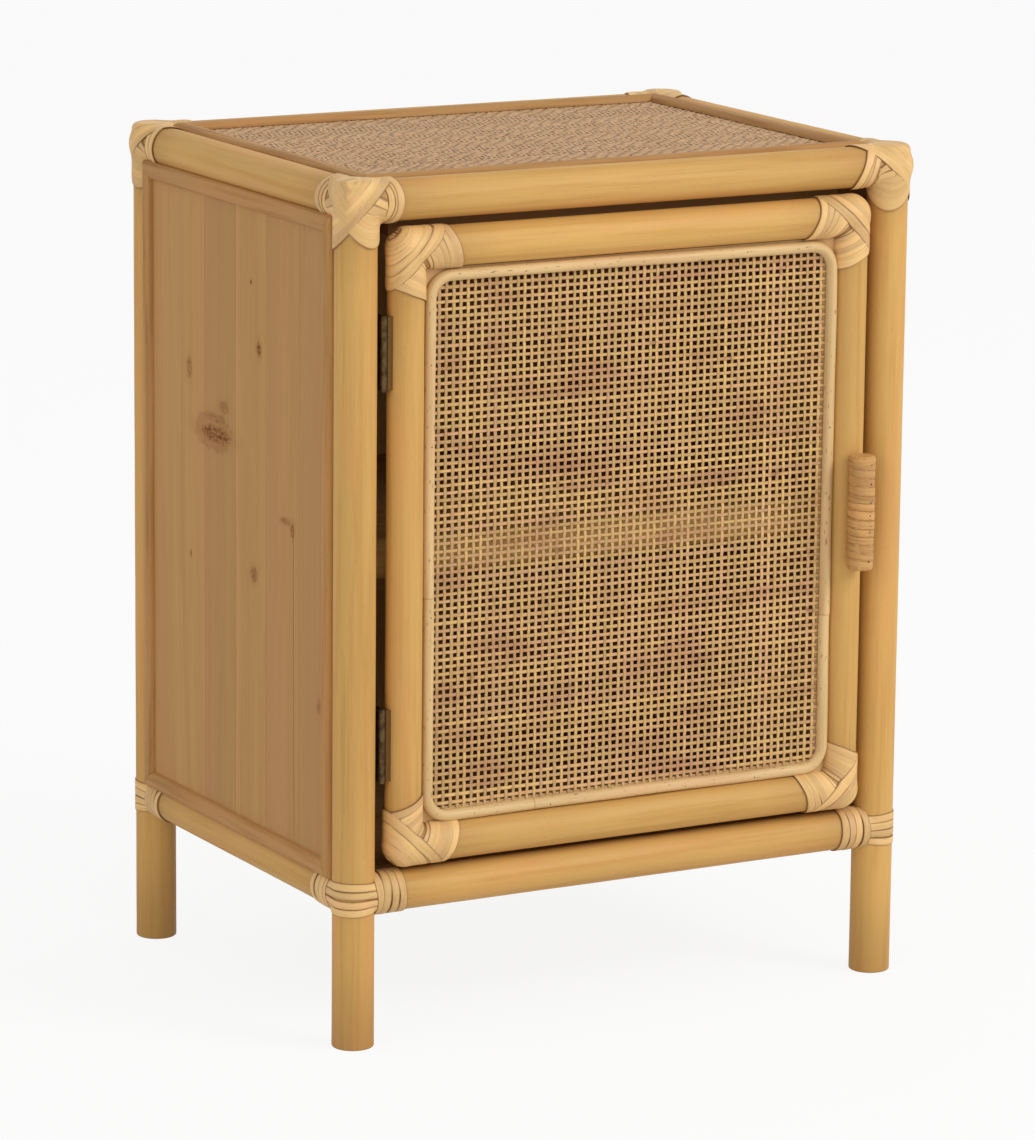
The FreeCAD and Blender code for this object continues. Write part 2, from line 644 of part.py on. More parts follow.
def ring():
    """Half-round cane bent round the webbing, in three lengths with butt joints."""
    half = RING_W / 2
    path = rounded_outline(RING_LEFT + half, RING_LOW + half, RING_RIGHT - half, RING_HIGH - half,
                           RING_CORNER_R - half, RING_BASE_Y)
    start = V(RING_LEFT + RING_CORNER_R, RING_BASE_Y, RING_LOW + half)
    dome = Part.Arc(start + V(0, 0, -half), start + V(0, -RING_H, 0), start + V(0, 0, half)).toShape()
    flat = Part.LineSegment(start + V(0, 0, half), start + V(0, 0, -half)).toShape()
    shape = path.makePipeShell([Part.Wire([dome, flat])], True, False)
    gap = RING_JOINT / 2
    deep = (RING_BASE_Y - RING_W, RING_BASE_Y + RING_W)
    middles = ((RING_LEFT + half, RING_LOW + RING_JOINT_UP_LEFT, RING_W, gap),
               (RING_RIGHT - half, RING_LOW + RING_JOINT_UP_RIGHT, RING_W, gap),
               (RING_LEFT + RING_JOINT_ALONG_BOTTOM, RING_LOW + half, gap, RING_W))
    cuts = [box((x - reach_x, deep[0], z - reach_z), (x + reach_x, deep[1], z + reach_z))
            for x, z, reach_x, reach_z in middles]
    return Part.makeCompound(shape.cut(cuts).Solids)


def handle_core():
    """Wooden stick inside the handle."""
    low, high = HANDLE_Z - HANDLE_LENGTH / 2, HANDLE_Z + HANDLE_LENGTH / 2
    radius = HANDLE_R - HANDLE_WRAP_T - SEAT_GAP
    shape = rod((HANDLE_STILE_X, HANDLE_Y, low), (HANDLE_STILE_X, HANDLE_Y, high), radius)
    ends = [e for e in shape.Edges if e.BoundBox.ZLength < 0.1]
    shape = shape.makeFillet(HANDLE_WRAP_T, ends)
    return shape.cut([screw_hole(p, d, HANDLE_SCREW) for p, d in handle_screws()])


def handle_wrap():
    """Cane wound round the handle's core."""
    low = HANDLE_Z - HANDLE_LENGTH / 2 + HANDLE_WRAP_T
    high = HANDLE_Z + HANDLE_LENGTH / 2 - HANDLE_WRAP_T
    shape = rod((HANDLE_STILE_X, HANDLE_Y, low), (HANDLE_STILE_X, HANDLE_Y, high), HANDLE_R)
    rims = [e for e in shape.Edges if e.BoundBox.ZLength < 0.1]
    shape = shape.makeFillet(HANDLE_WRAP_T / 2, rims)
    bore_r = HANDLE_R - HANDLE_WRAP_T
    bore = rod((HANDLE_STILE_X, HANDLE_Y, low - 1), (HANDLE_STILE_X, HANDLE_Y, high + 1), bore_r)
    return shape.cut([bore] + [screw_hole(p, d, HANDLE_SCREW) for p, d in handle_screws()])


# ---------------------------------------------------------------- hinges


def knuckle(low, high, bore_gap):
    """One knuckle of a hinge, bored for the pin."""
    outer = Part.makeCylinder(KNUCKLE_R, high - low, V(0, 0, low))
    return outer, Part.makeCylinder(PIN_D / 2 + bore_gap, high - low, V(0, 0, low))


def hinge_leaf(side, hinge_z):
    """Leaf of a hinge with its knuckles: two end ones on the frame's leaf, the middle one on the door's."""
    half = HINGE_HEIGHT / 2
    joint = half - END_KNUCKLE_H
    if side == LEFT:
        own = [(-half, -joint), (joint, half)]
        others = [(-joint, joint)]
        bore_gap = SEAT_GAP
    else:
        own = [(-joint + KNUCKLE_GAP, joint - KNUCKLE_GAP)]
        others = [(-half, -joint + KNUCKLE_GAP), (joint - KNUCKLE_GAP, half)]
        bore_gap = PIN_RUNNING_GAP
    near, far = side * (KNUCKLE_R - LEAF_T), side * KNUCKLE_R
    shape = box((min(near, far), 0, -half), (max(near, far), LEAF_W, half))
    notch = KNUCKLE_R + MOVING_GAP
    shape = shape.cut([box((-notch, -notch, low), (notch, notch, high)) for low, high in others])
    knuckles = [knuckle(low, high, bore_gap) for low, high in own]
    shape = shape.fuse([outer for outer, bore in knuckles])
    shape = shape.cut([bore for outer, bore in knuckles])
    shape.translate(V(HINGE_X, HINGE_Y, hinge_z))
    return shape.cut([screw_hole(p, d, SMALL_SCREW) for p, d in leaf_screws(side)])


def hinge_pin(hinge_z):
    """Pin through all three knuckles with a small head at each end."""
    half = HINGE_HEIGHT / 2
    shape = rod((0, 0, -half - PIN_HEAD_H), (0, 0, half + PIN_HEAD_H), PIN_D / 2)
    head_gap = half + SEAT_GAP
    heads = [rod((0, 0, head_gap), (0, 0, half + PIN_HEAD_H), PIN_HEAD_D / 2),
             rod((0, 0, -half - PIN_HEAD_H), (0, 0, -head_gap), PIN_HEAD_D / 2)]
    shape = shape.fuse(heads)
    shape.translate(V(HINGE_X, HINGE_Y, hinge_z))
    return shape


def hinge_packer(hinge_z):
    """Wooden strip that fills the space between the flat door leaf and the round stile."""
    low_x = HINGE_X + KNUCKLE_R + SEAT_GAP
    low_y = HINGE_Y - PACKER_FORWARD
    half = HINGE_HEIGHT / 2
    shape = box((low_x, low_y, hinge_z - half), (low_x + PACKER_EDGE_T, low_y + PACKER_W, hinge_z + half))
    stile = rod((HINGE_STILE_X, DOOR_Y, DOOR_BOTTOM), (HINGE_STILE_X, DOOR_Y, DOOR_TOP), STILE_R + SEAT_GAP)
    return shape.cut([stile] + [screw_hole(p, d, SMALL_SCREW) for p, d in leaf_screws(RIGHT)])


# ---------------------------------------------------------------- shelf, battens and catch

SHELF_POLE_R = SHELF_POLE_D / 2
SHELF_POLE_Y = -POST_Y + SHELF_SET_BACK
SHELF_Z = FLOOR_TOP_Z + SHELF_ABOVE_FLOOR
SHELF_TOP_Z = SHELF_Z + SHELF_POLE_R - SHELF_BOARD_DROP
SHELF_FRONT_Y = SHELF_POLE_Y + SHELF_POLE_R + PANEL_GAP
CATCH_X = HANDLE_STILE_X - CATCH_FROM_STILE
STRIKE_Y = DOOR_Y + DOOR_RAIL_R - STRIKE_FLAT_DEPTH
MAGNET_Y = STRIKE_Y + SEAT_GAP + STRIKE_SIZE[1] + MOVING_GAP
CATCH_Y = MAGNET_Y + MAGNET_PROUD
CATCH_TOP_Z = DOOR_HIGH_RAIL_Z + CATCH_SIZE[2] / 2
CATCH_BATTEN_Y = -POST_Y + RAIL_R + PANEL_GAP


def shelf_pole():
    """Round front edge of the shelf."""
    reach = SIDE_INNER_X - PANEL_GAP
    return rod((-reach, SHELF_POLE_Y, SHELF_Z), (reach, SHELF_POLE_Y, SHELF_Z), SHELF_POLE_R)


def shelf_board():
    """Shelf board, notched round the back posts."""
    reach = SIDE_INNER_X - PANEL_GAP
    back = BACK_INNER_Y - PANEL_GAP
    shape = box((-reach, SHELF_FRONT_Y, SHELF_TOP_Z - PANEL_T), (reach, back, SHELF_TOP_Z))
    notches = []
    for side in (LEFT, RIGHT):
        inner, outer = side * PANEL_X, side * (reach + 1)
        notches.append(box((min(inner, outer), PANEL_Y, SHELF_TOP_Z - 2 * PANEL_T),
                           (max(inner, outer), back + 1, SHELF_TOP_Z + PANEL_T)))
    return shape.cut(notches)


def battens():
    """Two cleats under the shelf board and two battens under the floor panel."""
    side = BATTEN_SIDE
    shelf_z = SHELF_TOP_Z - PANEL_T - SEAT_GAP
    floor_z = FLOOR_TOP_Z - PANEL_T - SEAT_GAP
    floor_x = POST_X - RAIL_R - PANEL_GAP
    floor_y = POST_Y - BAND_END - BATTEN_END_GAP
    bars = []
    for s in (LEFT, RIGHT):
        outer = s * (SIDE_INNER_X - SEAT_GAP)
        inner = outer - s * side
        bars.append(box((min(inner, outer), SHELF_FRONT_Y, shelf_z - side),
                        (max(inner, outer), PANEL_Y, shelf_z)))
        outer = s * floor_x
        inner = outer - s * side
        bars.append(box((min(inner, outer), -floor_y, floor_z - side),
                        (max(inner, outer), floor_y, floor_z)))
    return Part.makeCompound(bars)


def catch_batten():
    """Batten under the front of the top panel, which carries the catch."""
    reach = POST_X - TOP_BINDING_REACH - BATTEN_END_GAP
    low = (-reach, CATCH_BATTEN_Y, CATCH_TOP_Z + SEAT_GAP)
    high = (reach, CATCH_BATTEN_Y + BATTEN_SIDE, TOP_PANEL_Z - PANEL_T - SEAT_GAP)
    return box(low, high).cut([screw_hole(p, d, SMALL_SCREW) for p, d in catch_screws()])


def catch_screws():
    """Head and direction of the two screws up through the catch into its batten."""
    length = CATCH_SIZE[2]
    reach = CATCH_SIZE[0] / 2 - CATCH_SCREW_INSET
    y = CATCH_Y + CATCH_SIZE[1] / 2
    head = CATCH_TOP_Z - length / 2
    return [((CATCH_X + s * reach, y, head), (0, 0, 1)) for s in (-1, 1)]


def catch_housing():
    """Moulded body of the magnetic catch, open in front for its magnet."""
    sx, sy, sz = CATCH_SIZE
    shape = box((CATCH_X - sx / 2, CATCH_Y, CATCH_TOP_Z - sz), (CATCH_X + sx / 2, CATCH_Y + sy, CATCH_TOP_Z))
    holes = [screw_hole(p, d, SMALL_SCREW, CATCH_SIZE[2]) for p, d in catch_screws()]
    return shape.cut([magnet(SEAT_GAP)] + holes)


def magnet(grow=0.0):
    """Magnet in the catch, standing a little proud of the housing."""
    sx, sy, sz = MAGNET_SIZE
    middle = CATCH_TOP_Z - CATCH_SIZE[2] / 2
    return box((CATCH_X - sx / 2 - grow, MAGNET_Y - grow, middle - sz / 2 - grow),
               (CATCH_X + sx / 2 + grow, MAGNET_Y + sy + grow, middle + sz / 2 + grow))


def strike_flat():
    """Flat on the back of the door's top rail, under the strike plate."""
    reach = STRIKE_SIZE[0] / 2 + MOVING_GAP
    return box((CATCH_X - reach, STRIKE_Y, DOOR_HIGH_RAIL_Z - DOOR_RAIL_D),
               (CATCH_X + reach, STRIKE_Y + DOOR_RAIL_D, DOOR_HIGH_RAIL_Z + DOOR_RAIL_D))


def strike_screws():
    """Head and direction of the two screws that hold the strike plate."""
    reach = STRIKE_SIZE[0] / 2 - STRIKE_SCREW_INSET
    y = STRIKE_Y + SEAT_GAP + STRIKE_SIZE[1]
    return [((CATCH_X + s * reach, y, DOOR_HIGH_RAIL_Z), (0, -1, 0)) for s in (-1, 1)]


def strike_plate():
    """Steel plate that the magnet holds."""
    sx, sy, sz = STRIKE_SIZE
    low = STRIKE_Y + SEAT_GAP
    shape = box((CATCH_X - sx / 2, low, DOOR_HIGH_RAIL_Z - sz / 2),
                (CATCH_X + sx / 2, low + sy, DOOR_HIGH_RAIL_Z + sz / 2))
    return shape.cut([screw_hole(p, d, SMALL_SCREW) for p, d in strike_screws()])


# ---------------------------------------------------------------- the whole cabinet


def screws_of(places, kind):
    """A screw at each of the given places."""
    return [screw(p, d, kind) for p, d in places]


def frame_nodes():
    """Everything that stands still."""
    nodes = {}
    sides = {"left": LEFT, "right": RIGHT}
    for row, sy in (("front", FRONT), ("back", BACK)):
        for column, sx in sides.items():
            corner = row + "_" + column
            nodes["post_" + corner] = post(sx, sy)
            nodes["top_binding_" + corner] = top_binding(sx, sy)
            nodes["bottom_binding_" + corner] = bottom_binding(sx, sy)
        nodes["top_rail_" + row] = rail(True, sy, TOP_RAIL_Z)
        nodes["bottom_rail_" + row] = rail(True, sy, BOTTOM_RAIL_Z)
    for column, sx in sides.items():
        nodes["top_rail_" + column] = rail(False, sx, TOP_RAIL_Z)
        nodes["bottom_rail_" + column] = rail(False, sx, BOTTOM_RAIL_Z)
        nodes["side_panel_" + column] = side_panel(sx)
        nodes["side_trim_" + column] = side_trim(sx)
    nodes["back_panel"] = back_panel()
    nodes["back_trim"] = back_trim()
    nodes["top_panel"] = top_panel()
    nodes["top_mat"] = top_mat()
    nodes["top_trim"] = top_trim()
    nodes["floor_panel"] = floor_panel()
    nodes["shelf_pole"] = shelf_pole()
    nodes["shelf_board"] = shelf_board()
    nodes["battens"] = battens()
    nodes["catch_batten"] = catch_batten()
    nodes["catch_housing"] = catch_housing()
    nodes["catch_magnet"] = magnet()
    nodes["frame_long_screws"] = Part.makeCompound(screws_of(frame_screws(), LONG_SCREW))
    small_screws = screws_of(leaf_screws(LEFT) + catch_screws(), SMALL_SCREW)
    nodes["frame_small_screws"] = Part.makeCompound(small_screws)
    nodes["hinge_pins"] = Part.makeCompound([hinge_pin(z) for z in HINGE_Z])
    for level, hinge_z in zip(("lower", "upper"), HINGE_Z):
        nodes["hinge_frame_leaf_" + level] = hinge_leaf(LEFT, hinge_z)
    return nodes


def door_nodes():
    """Everything that swings on the hinges."""
    nodes = {}
    for side, stile_x in (("hinge", HINGE_STILE_X), ("handle", HANDLE_STILE_X)):
        nodes["door_stile_" + side] = door_stile(stile_x)
        for level, rail_z in (("bottom", DOOR_LOW_RAIL_Z), ("top", DOOR_HIGH_RAIL_Z)):
            nodes["door_binding_" + level + "_" + side] = door_binding(stile_x, rail_z)
    nodes["door_rail_bottom"] = door_rail(DOOR_LOW_RAIL_Z)
    nodes["door_rail_top"] = door_rail(DOOR_HIGH_RAIL_Z)
    nodes["door_webbing"] = webbing()
    nodes["door_ring"] = ring()
    nodes["door_backing_frame"] = backing_frame()
    nodes["handle_core"] = handle_core()
    nodes["handle_wrap"] = handle_wrap()
    nodes["strike_plate"] = strike_plate()
    for level, hinge_z in zip(("lower", "upper"), HINGE_Z):
        nodes["hinge_door_leaf_" + level] = hinge_leaf(RIGHT, hinge_z)
    nodes["hinge_packers"] = Part.makeCompound([hinge_packer(z) for z in HINGE_Z])
    long_screws = screws_of(door_corner_screws(), LONG_SCREW) + screws_of(handle_screws(), HANDLE_SCREW)
    nodes["door_long_screws"] = Part.makeCompound(long_screws)
    small_screws = screws_of(leaf_screws(RIGHT) + strike_screws(), SMALL_SCREW)
    nodes["door_small_screws"] = Part.makeCompound(small_screws)
    return nodes


def main():
    """Build every node, set the origin under the middle of the box and write one STEP file each."""
    os.makedirs("parts", exist_ok=True)
    nodes = frame_nodes()
    nodes.update(door_nodes())
    total = FreeCAD.BoundBox()
    for name in sorted(nodes):
        shape = nodes[name]
        shape.translate(V(0, ORIGIN_Y, 0))
        shape.exportStep("parts/" + name + ".step")
        total.add(shape.BoundBox)
        print(name, "solids", len(shape.Solids), "volume", round(shape.Volume, 1), "valid", shape.isValid())
    print("nodes", len(nodes))
    print("box", total)
    print("hinge axis", round(HINGE_X, 3), round(HINGE_Y + ORIGIN_Y, 3))


main()
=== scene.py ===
import math

import bpy
import numpy as np
from mathutils import Matrix, Vector


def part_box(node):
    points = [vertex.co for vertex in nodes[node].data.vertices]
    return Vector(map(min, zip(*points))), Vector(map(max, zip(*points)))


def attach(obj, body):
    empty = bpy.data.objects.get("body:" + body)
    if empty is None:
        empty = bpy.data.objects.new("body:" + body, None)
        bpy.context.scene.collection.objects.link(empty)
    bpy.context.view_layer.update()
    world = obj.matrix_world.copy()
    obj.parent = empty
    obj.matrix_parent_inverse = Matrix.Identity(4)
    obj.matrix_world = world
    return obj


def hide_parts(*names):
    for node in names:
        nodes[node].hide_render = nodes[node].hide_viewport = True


# Bedside cabinet of rattan poles bound with cane strip, pine panels edged with half-round cane,
# and a door of cane webbing. Metres: X to the right, Y to the back, Z up.

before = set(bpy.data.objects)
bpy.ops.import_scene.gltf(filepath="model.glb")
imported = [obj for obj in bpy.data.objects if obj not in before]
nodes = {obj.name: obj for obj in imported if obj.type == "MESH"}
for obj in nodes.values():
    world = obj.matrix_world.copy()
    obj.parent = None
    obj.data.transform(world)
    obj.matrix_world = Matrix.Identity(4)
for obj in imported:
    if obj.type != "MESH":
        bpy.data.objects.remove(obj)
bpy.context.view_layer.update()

MM = 0.001
X, Y, Z = 0, 1, 2
AXES = np.eye(3)
UP = AXES[Z]
FULL_TURN = 2 * math.pi
SIDES = {"left": -1, "right": 1}
ROWS = {"front": -1, "back": 1}
random = np.random.default_rng(11)


def corners(node):
    """Lowest and highest corner of a CAD node's box."""
    return [np.array(corner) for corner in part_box(node)]


def middle(node):
    """Centre of a CAD node's box."""
    return sum(corners(node)) / 2


# ---------------------------------------------------------------- sizes and places

POST_R = 14.65 * MM
RAIL_R = 14.4 * MM
STILE_R = 12.75 * MM
DOOR_RAIL_R = 14.0 * MM
SHELF_POLE_R = 13.0 * MM
SEAT_GAP = 0.05 * MM
FOOT_ROUNDING = 1.5 * MM
POST_TOP_ROUNDING = 3.5 * MM
SHELF_POLE_ROUNDING = 0.5 * MM
# Share of a door pole's radius that its end is rounded by
DOME = 0.97

STRIP_T = 0.5 * MM
STRIP_W = 6.3 * MM

POST_X = middle("post_front_right")[X]
POST_Y = {row: middle("post_" + row + "_left")[Y] for row in ROWS}
MIDDLE_Y = sum(POST_Y.values()) / 2
HEIGHT = corners("post_front_left")[1][Z]
RAIL_Z = {"bottom": middle("bottom_rail_front")[Z], "top": HEIGHT - RAIL_R}
DOOR_Y = middle("door_rail_top")[Y]
DOOR_LOW, DOOR_HIGH = (corner[Z] for corner in corners("door_stile_hinge"))
DOOR_RAIL_Z = {"bottom": DOOR_LOW + DOOR_RAIL_R, "top": DOOR_HIGH - DOOR_RAIL_R}
STILE_X = {side: middle("door_stile_" + side)[X] for side in ("hinge", "handle")}


# ---------------------------------------------------------------- meshes from grids of points


def unit(vector):
    """A vector scaled to length one."""
    return np.asarray(vector, float) / np.linalg.norm(vector)


def stacked(*parts):
    """Arrays brought to one shape and joined along a new last axis, such as X, Y and Z to points."""
    return np.stack(np.broadcast_arrays(*parts), axis=-1)


def run_of(line):
    """Length along a line of points, up to each of them."""
    return np.concatenate([[0.0], np.cumsum(np.linalg.norm(np.diff(line, axis=0), axis=1))])


def jitter(amount):
    """A small random change."""
    return random.uniform(-amount, amount)


def grain_shift():
    """A random place in the grain, so that each pole or strip shows streaks of its own."""
    return random.uniform(0, 5, 3)


def new_shape():
    """An empty mesh to be filled with grids: points, faces, and each point's grain, tone and edge."""
    return {"points": [], "quads": [], "tris": [], "grain": [], "tone": [], "edge": []}


def add_points(shape, points, grain, tone, edge=0.0):
    """Adds a grid of loose points and returns the number of the first one."""
    first = sum(len(part) for part in shape["points"])
    size = np.shape(points)[:-1]
    shape["points"].append(np.reshape(points, (-1, 3)))
    shape["grain"].append(np.broadcast_to(grain, (*size, 3)).reshape(-1, 3))
    shape["tone"].append(np.broadcast_to(tone, size).ravel())
    shape["edge"].append(np.broadcast_to(edge, size).ravel())
    return first


def add_grid(shape, points, grain, tone, edge=0.0, wrap_u=False, wrap_v=False):
    """Adds a grid of points, u by v, and the quads between neighbours, which face along du x dv."""
    first = add_points(shape, points, grain, tone, edge)
    count_u, count_v = points.shape[:2]
    u = np.arange(count_u - 1 + wrap_u)[:, None]
    v = np.arange(count_v - 1 + wrap_v)
    row, next_row = u * count_v, (u + 1) % count_u * count_v
    next_v = (v + 1) % count_v
    quads = stacked(row + v, next_row + v, next_row + next_v, row + next_v)
    shape["quads"].append(first + quads.reshape(-1, 4))
    return first


def add_tube(shape, points, grain, tone, edge=0.0):
    """Adds a closed tube: sections run round u, the length runs along v, and a fan closes each end."""
    first = add_grid(shape, points, grain, tone, edge, wrap_u=True)
    count_u, count_v = points.shape[:2]
    tone = np.broadcast_to(tone, (count_u, count_v))
    for v, turn in ((0, -1), (count_v - 1, 1)):
        rim = (first + np.arange(count_u) * count_v + v)[::turn]
        tip = add_points(shape, points[:, v].mean(0), grain[:, v].mean(0), tone[0, v])
        shape["tris"].append(stacked(rim, np.roll(rim, -1), tip))


def add_object(name, data):
    """Puts an object at the scene's origin."""
    thing = bpy.data.objects.new(name, data)
    bpy.context.scene.collection.objects.link(thing)
    return thing


def finish_piece(name, shape, material, body, replaced=None, sharp=35):
    """Makes the object of a filled shape, with its grain, tone and edge, and hangs it on a body."""
    points, quads = np.concatenate(shape["points"]), np.concatenate(shape["quads"])
    tris = np.concatenate([np.zeros((0, 3), int), *shape["tris"]])
    loops = np.concatenate([quads.ravel(), tris.ravel()])
    starts = np.concatenate([np.arange(len(quads)) * 4, quads.size + np.arange(len(tris)) * 3])
    mesh = bpy.data.meshes.new(name)
    mesh.vertices.add(len(points))
    mesh.vertices.foreach_set("co", points.astype(np.float32).ravel())
    mesh.loops.add(len(loops))
    mesh.loops.foreach_set("vertex_index", loops.astype(np.int32))
    mesh.polygons.add(len(starts))
    mesh.polygons.foreach_set("loop_start", starts.astype(np.int32))
    mesh.update(calc_edges=True)
    mesh.validate()
    for label, kind, field in (("grain", "FLOAT_VECTOR", "vector"), ("tone", "FLOAT", "value"),
                               ("edge", "FLOAT", "value")):
        data = mesh.attributes.new(label, kind, "POINT").data
        data.foreach_set(field, np.concatenate(shape[label]).astype(np.float32).ravel())
    mesh.shade_smooth()
    mesh.set_sharp_from_angle(angle=math.radians(sharp))
    mesh.materials.append(material)
    piece = add_object(name, mesh)
    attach(piece, body)
    if replaced:
        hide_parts(replaced)


# ---------------------------------------------------------------- shader helpers


def shade(red, green, blue):
    """Linear colour of a display colour given from 0 to 255."""
    values = [c / 255 for c in (red, green, blue)]
    linear = [c / 12.92 if c <= 0.04045 else ((c + 0.055) / 1.055) ** 2.4 for c in values]
    return (*linear, 1.0)


def feed(tree, node, inputs):
    """Gives a node's inputs a value or another node's output."""
    for key, value in inputs.items():
        if isinstance(value, bpy.types.NodeSocket):
            tree.links.new(value, node.inputs[key])
        else:
            node.inputs[key].default_value = value


def put(tree, kind, inputs=None, **settings):
    """Adds a node, makes its settings and feeds its inputs."""
    node = tree.nodes.new(kind)
    for key, value in settings.items():
        setattr(node, key, value)
    feed(tree, node, inputs or {})
    return node


def place(tree, group, inputs):
    """Places a node group and returns its outputs."""
    return put(tree, "ShaderNodeGroup", inputs, node_tree=group).outputs


def sums(tree, operation, a, b=0.0, clamp=False):
    """Output of a Math node."""
    return put(tree, "ShaderNodeMath", {0: a, 1: b}, operation=operation, use_clamp=clamp).outputs[0]


def plus(tree, a, b):
    """Sum of two numbers."""
    return sums(tree, "ADD", a, b)


def times(tree, a, b):
    """Product of two numbers."""
    return sums(tree, "MULTIPLY", a, b)


def swing(tree, value, amount):
    """A value from 0 to 1 turned to one about nought, times an amount."""
    return times(tree, sums(tree, "SUBTRACT", value, 0.5), amount)


def vectors(tree, operation, a, b=(0.0, 0.0, 0.0)):
    """Vector output of a Vector Math node."""
    return put(tree, "ShaderNodeVectorMath", {0: a, 1: b}, operation=operation).outputs[0]


def squeezed(tree, vector, along):
    """A vector whose third coordinate is multiplied, which draws a pattern out along it."""
    return vectors(tree, "MULTIPLY", vector, (1.0, 1.0, along))


def scaled(tree, vector, factor):
    """A vector times a number."""
    return put(tree, "ShaderNodeVectorMath", {0: vector, "Scale": factor}, operation="SCALE").outputs[0]


def blend(tree, factor, a, b, kind="MIX"):
    """Output of a colour Mix node."""
    return put(tree, "ShaderNodeMix", {0: factor, 6: a, 7: b}, data_type="RGBA", blend_type=kind).outputs[2]


def lit(tree, color, light):
    """A colour times a lightness."""
    grey = put(tree, "ShaderNodeCombineColor", {0: light, 1: light, 2: light}).outputs[0]
    return blend(tree, 1.0, color, grey, "MULTIPLY")


def spread(tree, value, low, high, to_low=0.0, to_high=1.0):
    """Smooth step of a value from one range to another."""
    inputs = {0: value, 1: low, 2: high, 3: to_low, 4: to_high}
    return put(tree, "ShaderNodeMapRange", inputs, interpolation_type="SMOOTHSTEP").outputs[0]


def noise(tree, vector, scale, detail=2.0, roughness=0.5):
    """Factor of a Noise Texture."""
    inputs = {"Vector": vector, "Scale": scale, "Detail": detail, "Roughness": roughness}
    return put(tree, "ShaderNodeTexNoise", inputs).outputs["Fac"]


def attribute(tree, name):
    """Output of an Attribute node: the grain is a vector, the others are numbers."""
    output = "Vector" if name == "grain" else "Fac"
    return put(tree, "ShaderNodeAttribute", attribute_name=name).outputs[output]


def new_group(name, inputs, outputs):
    """A shader node group: its tree, its inputs and its output node. A default tells an input's kind."""
    tree = bpy.data.node_groups.new(name, "ShaderNodeTree")
    for label, value in inputs.items():
        kind = {1: "Float", 3: "Vector", 4: "Color"}[np.size(value)]
        socket = tree.interface.new_socket(label, in_out="INPUT", socket_type="NodeSocket" + kind)
        socket.default_value = value
    for label in outputs:
        kind = "Color" if label == "Color" else "Float"
        tree.interface.new_socket(label, in_out="OUTPUT", socket_type="NodeSocket" + kind)
    return tree, tree.nodes.new("NodeGroupInput").outputs, tree.nodes.new("NodeGroupOutput")


def new_material(name, inputs):
    """A material with a Principled shader of these values: the material, its tree and the shader."""
    material = bpy.data.materials.new(name)
    material.use_nodes = True
    tree = material.node_tree
    tree.nodes.clear()
    shader = put(tree, "ShaderNodeBsdfPrincipled", inputs)
    put(tree, "ShaderNodeOutputMaterial", {0: shader.outputs[0]})
    return material, tree, shader


def wire(tree, shader, color, roughness, height, depth, strength):
    """Connects colour, roughness and a bump to a shader."""
    bump = put(tree, "ShaderNodeBump", {"Height": height, "Distance": depth, "Strength": strength})
    feed(tree, shader, {"Base Color": color, "Roughness": roughness, "Normal": bump.outputs[0]})


# ---------------------------------------------------------------- shared effects

NOWHERE = (0.0, 0.0, 0.0)
# Painted shade along the edges of strips and strands where they meet their neighbours; the same brown darkens
# poles towards their ends
EDGE_SHADE_AND_END_TINT = shade(112, 68, 30)
SPECK_BROWN = shade(96, 56, 24)
KNOT_HALO = shade(160, 110, 62)
KNOT_PALE = shade(160, 110, 60)
KNOT_DARK = shade(112, 62, 20)


def make_cane_grain():
    """Group: long streaks, warm patches and fine fibres that run along the grain's third coordinate."""
    tree, given, result = new_group(
        "cane_grain",
        {"Vector": NOWHERE, "Tone": 0.5, "Base": shade(205, 163, 98), "Dark": shade(180, 132, 75),
         "Warm": shade(214, 150, 95), "Scale": 1.0, "Streaks": 0.5, "Warmth": 0.4, "Edge": 0.0, "Edging": 0.0,
         "Dullness": 0.5, "Specks": 0.2},
        ("Color", "Height", "Roughness"))
    vector = given["Vector"]
    fine = scaled(tree, squeezed(tree, vector, 0.035), given["Scale"])
    streak = noise(tree, fine, 260.0, 3.0, 0.55)
    fibre = noise(tree, fine, 1500.0, 2.0, 0.6)
    broad = noise(tree, squeezed(tree, vector, 0.12), 45.0)
    slow = noise(tree, squeezed(tree, vector, 0.6), 11.0)
    marks = noise(tree, squeezed(tree, vector, 0.22), 700.0, 1.0)
    color = blend(tree, times(tree, spread(tree, streak, 0.42, 0.72), given["Streaks"]), given["Base"],
                  given["Dark"])
    color = blend(tree, times(tree, spread(tree, broad, 0.45, 0.68), given["Warmth"]), color, given["Warm"])
    light = plus(tree, spread(tree, given["Tone"], 0.0, 1.0, 0.84, 1.12), swing(tree, fibre, 0.14))
    color = lit(tree, color, plus(tree, light, swing(tree, slow, 0.22)))
    # Painted shade: edges darken where strips and strands meet and pass under their neighbours, and poles
    # darken towards their ends
    rim = times(tree, spread(tree, given["Edge"], 0.62, 1.0), given["Edging"])
    color = blend(tree, rim, color, EDGE_SHADE_AND_END_TINT)
    color = blend(tree, times(tree, spread(tree, marks, 0.66, 0.76), given["Specks"]), color, SPECK_BROWN)
    gloss = plus(tree, given["Dullness"], spread(tree, streak, 0.3, 0.8, -0.06, 0.1))
    height = plus(tree, streak, times(tree, fibre, 0.6))
    feed(tree, result, {"Color": color, "Height": height, "Roughness": gloss})
    return tree


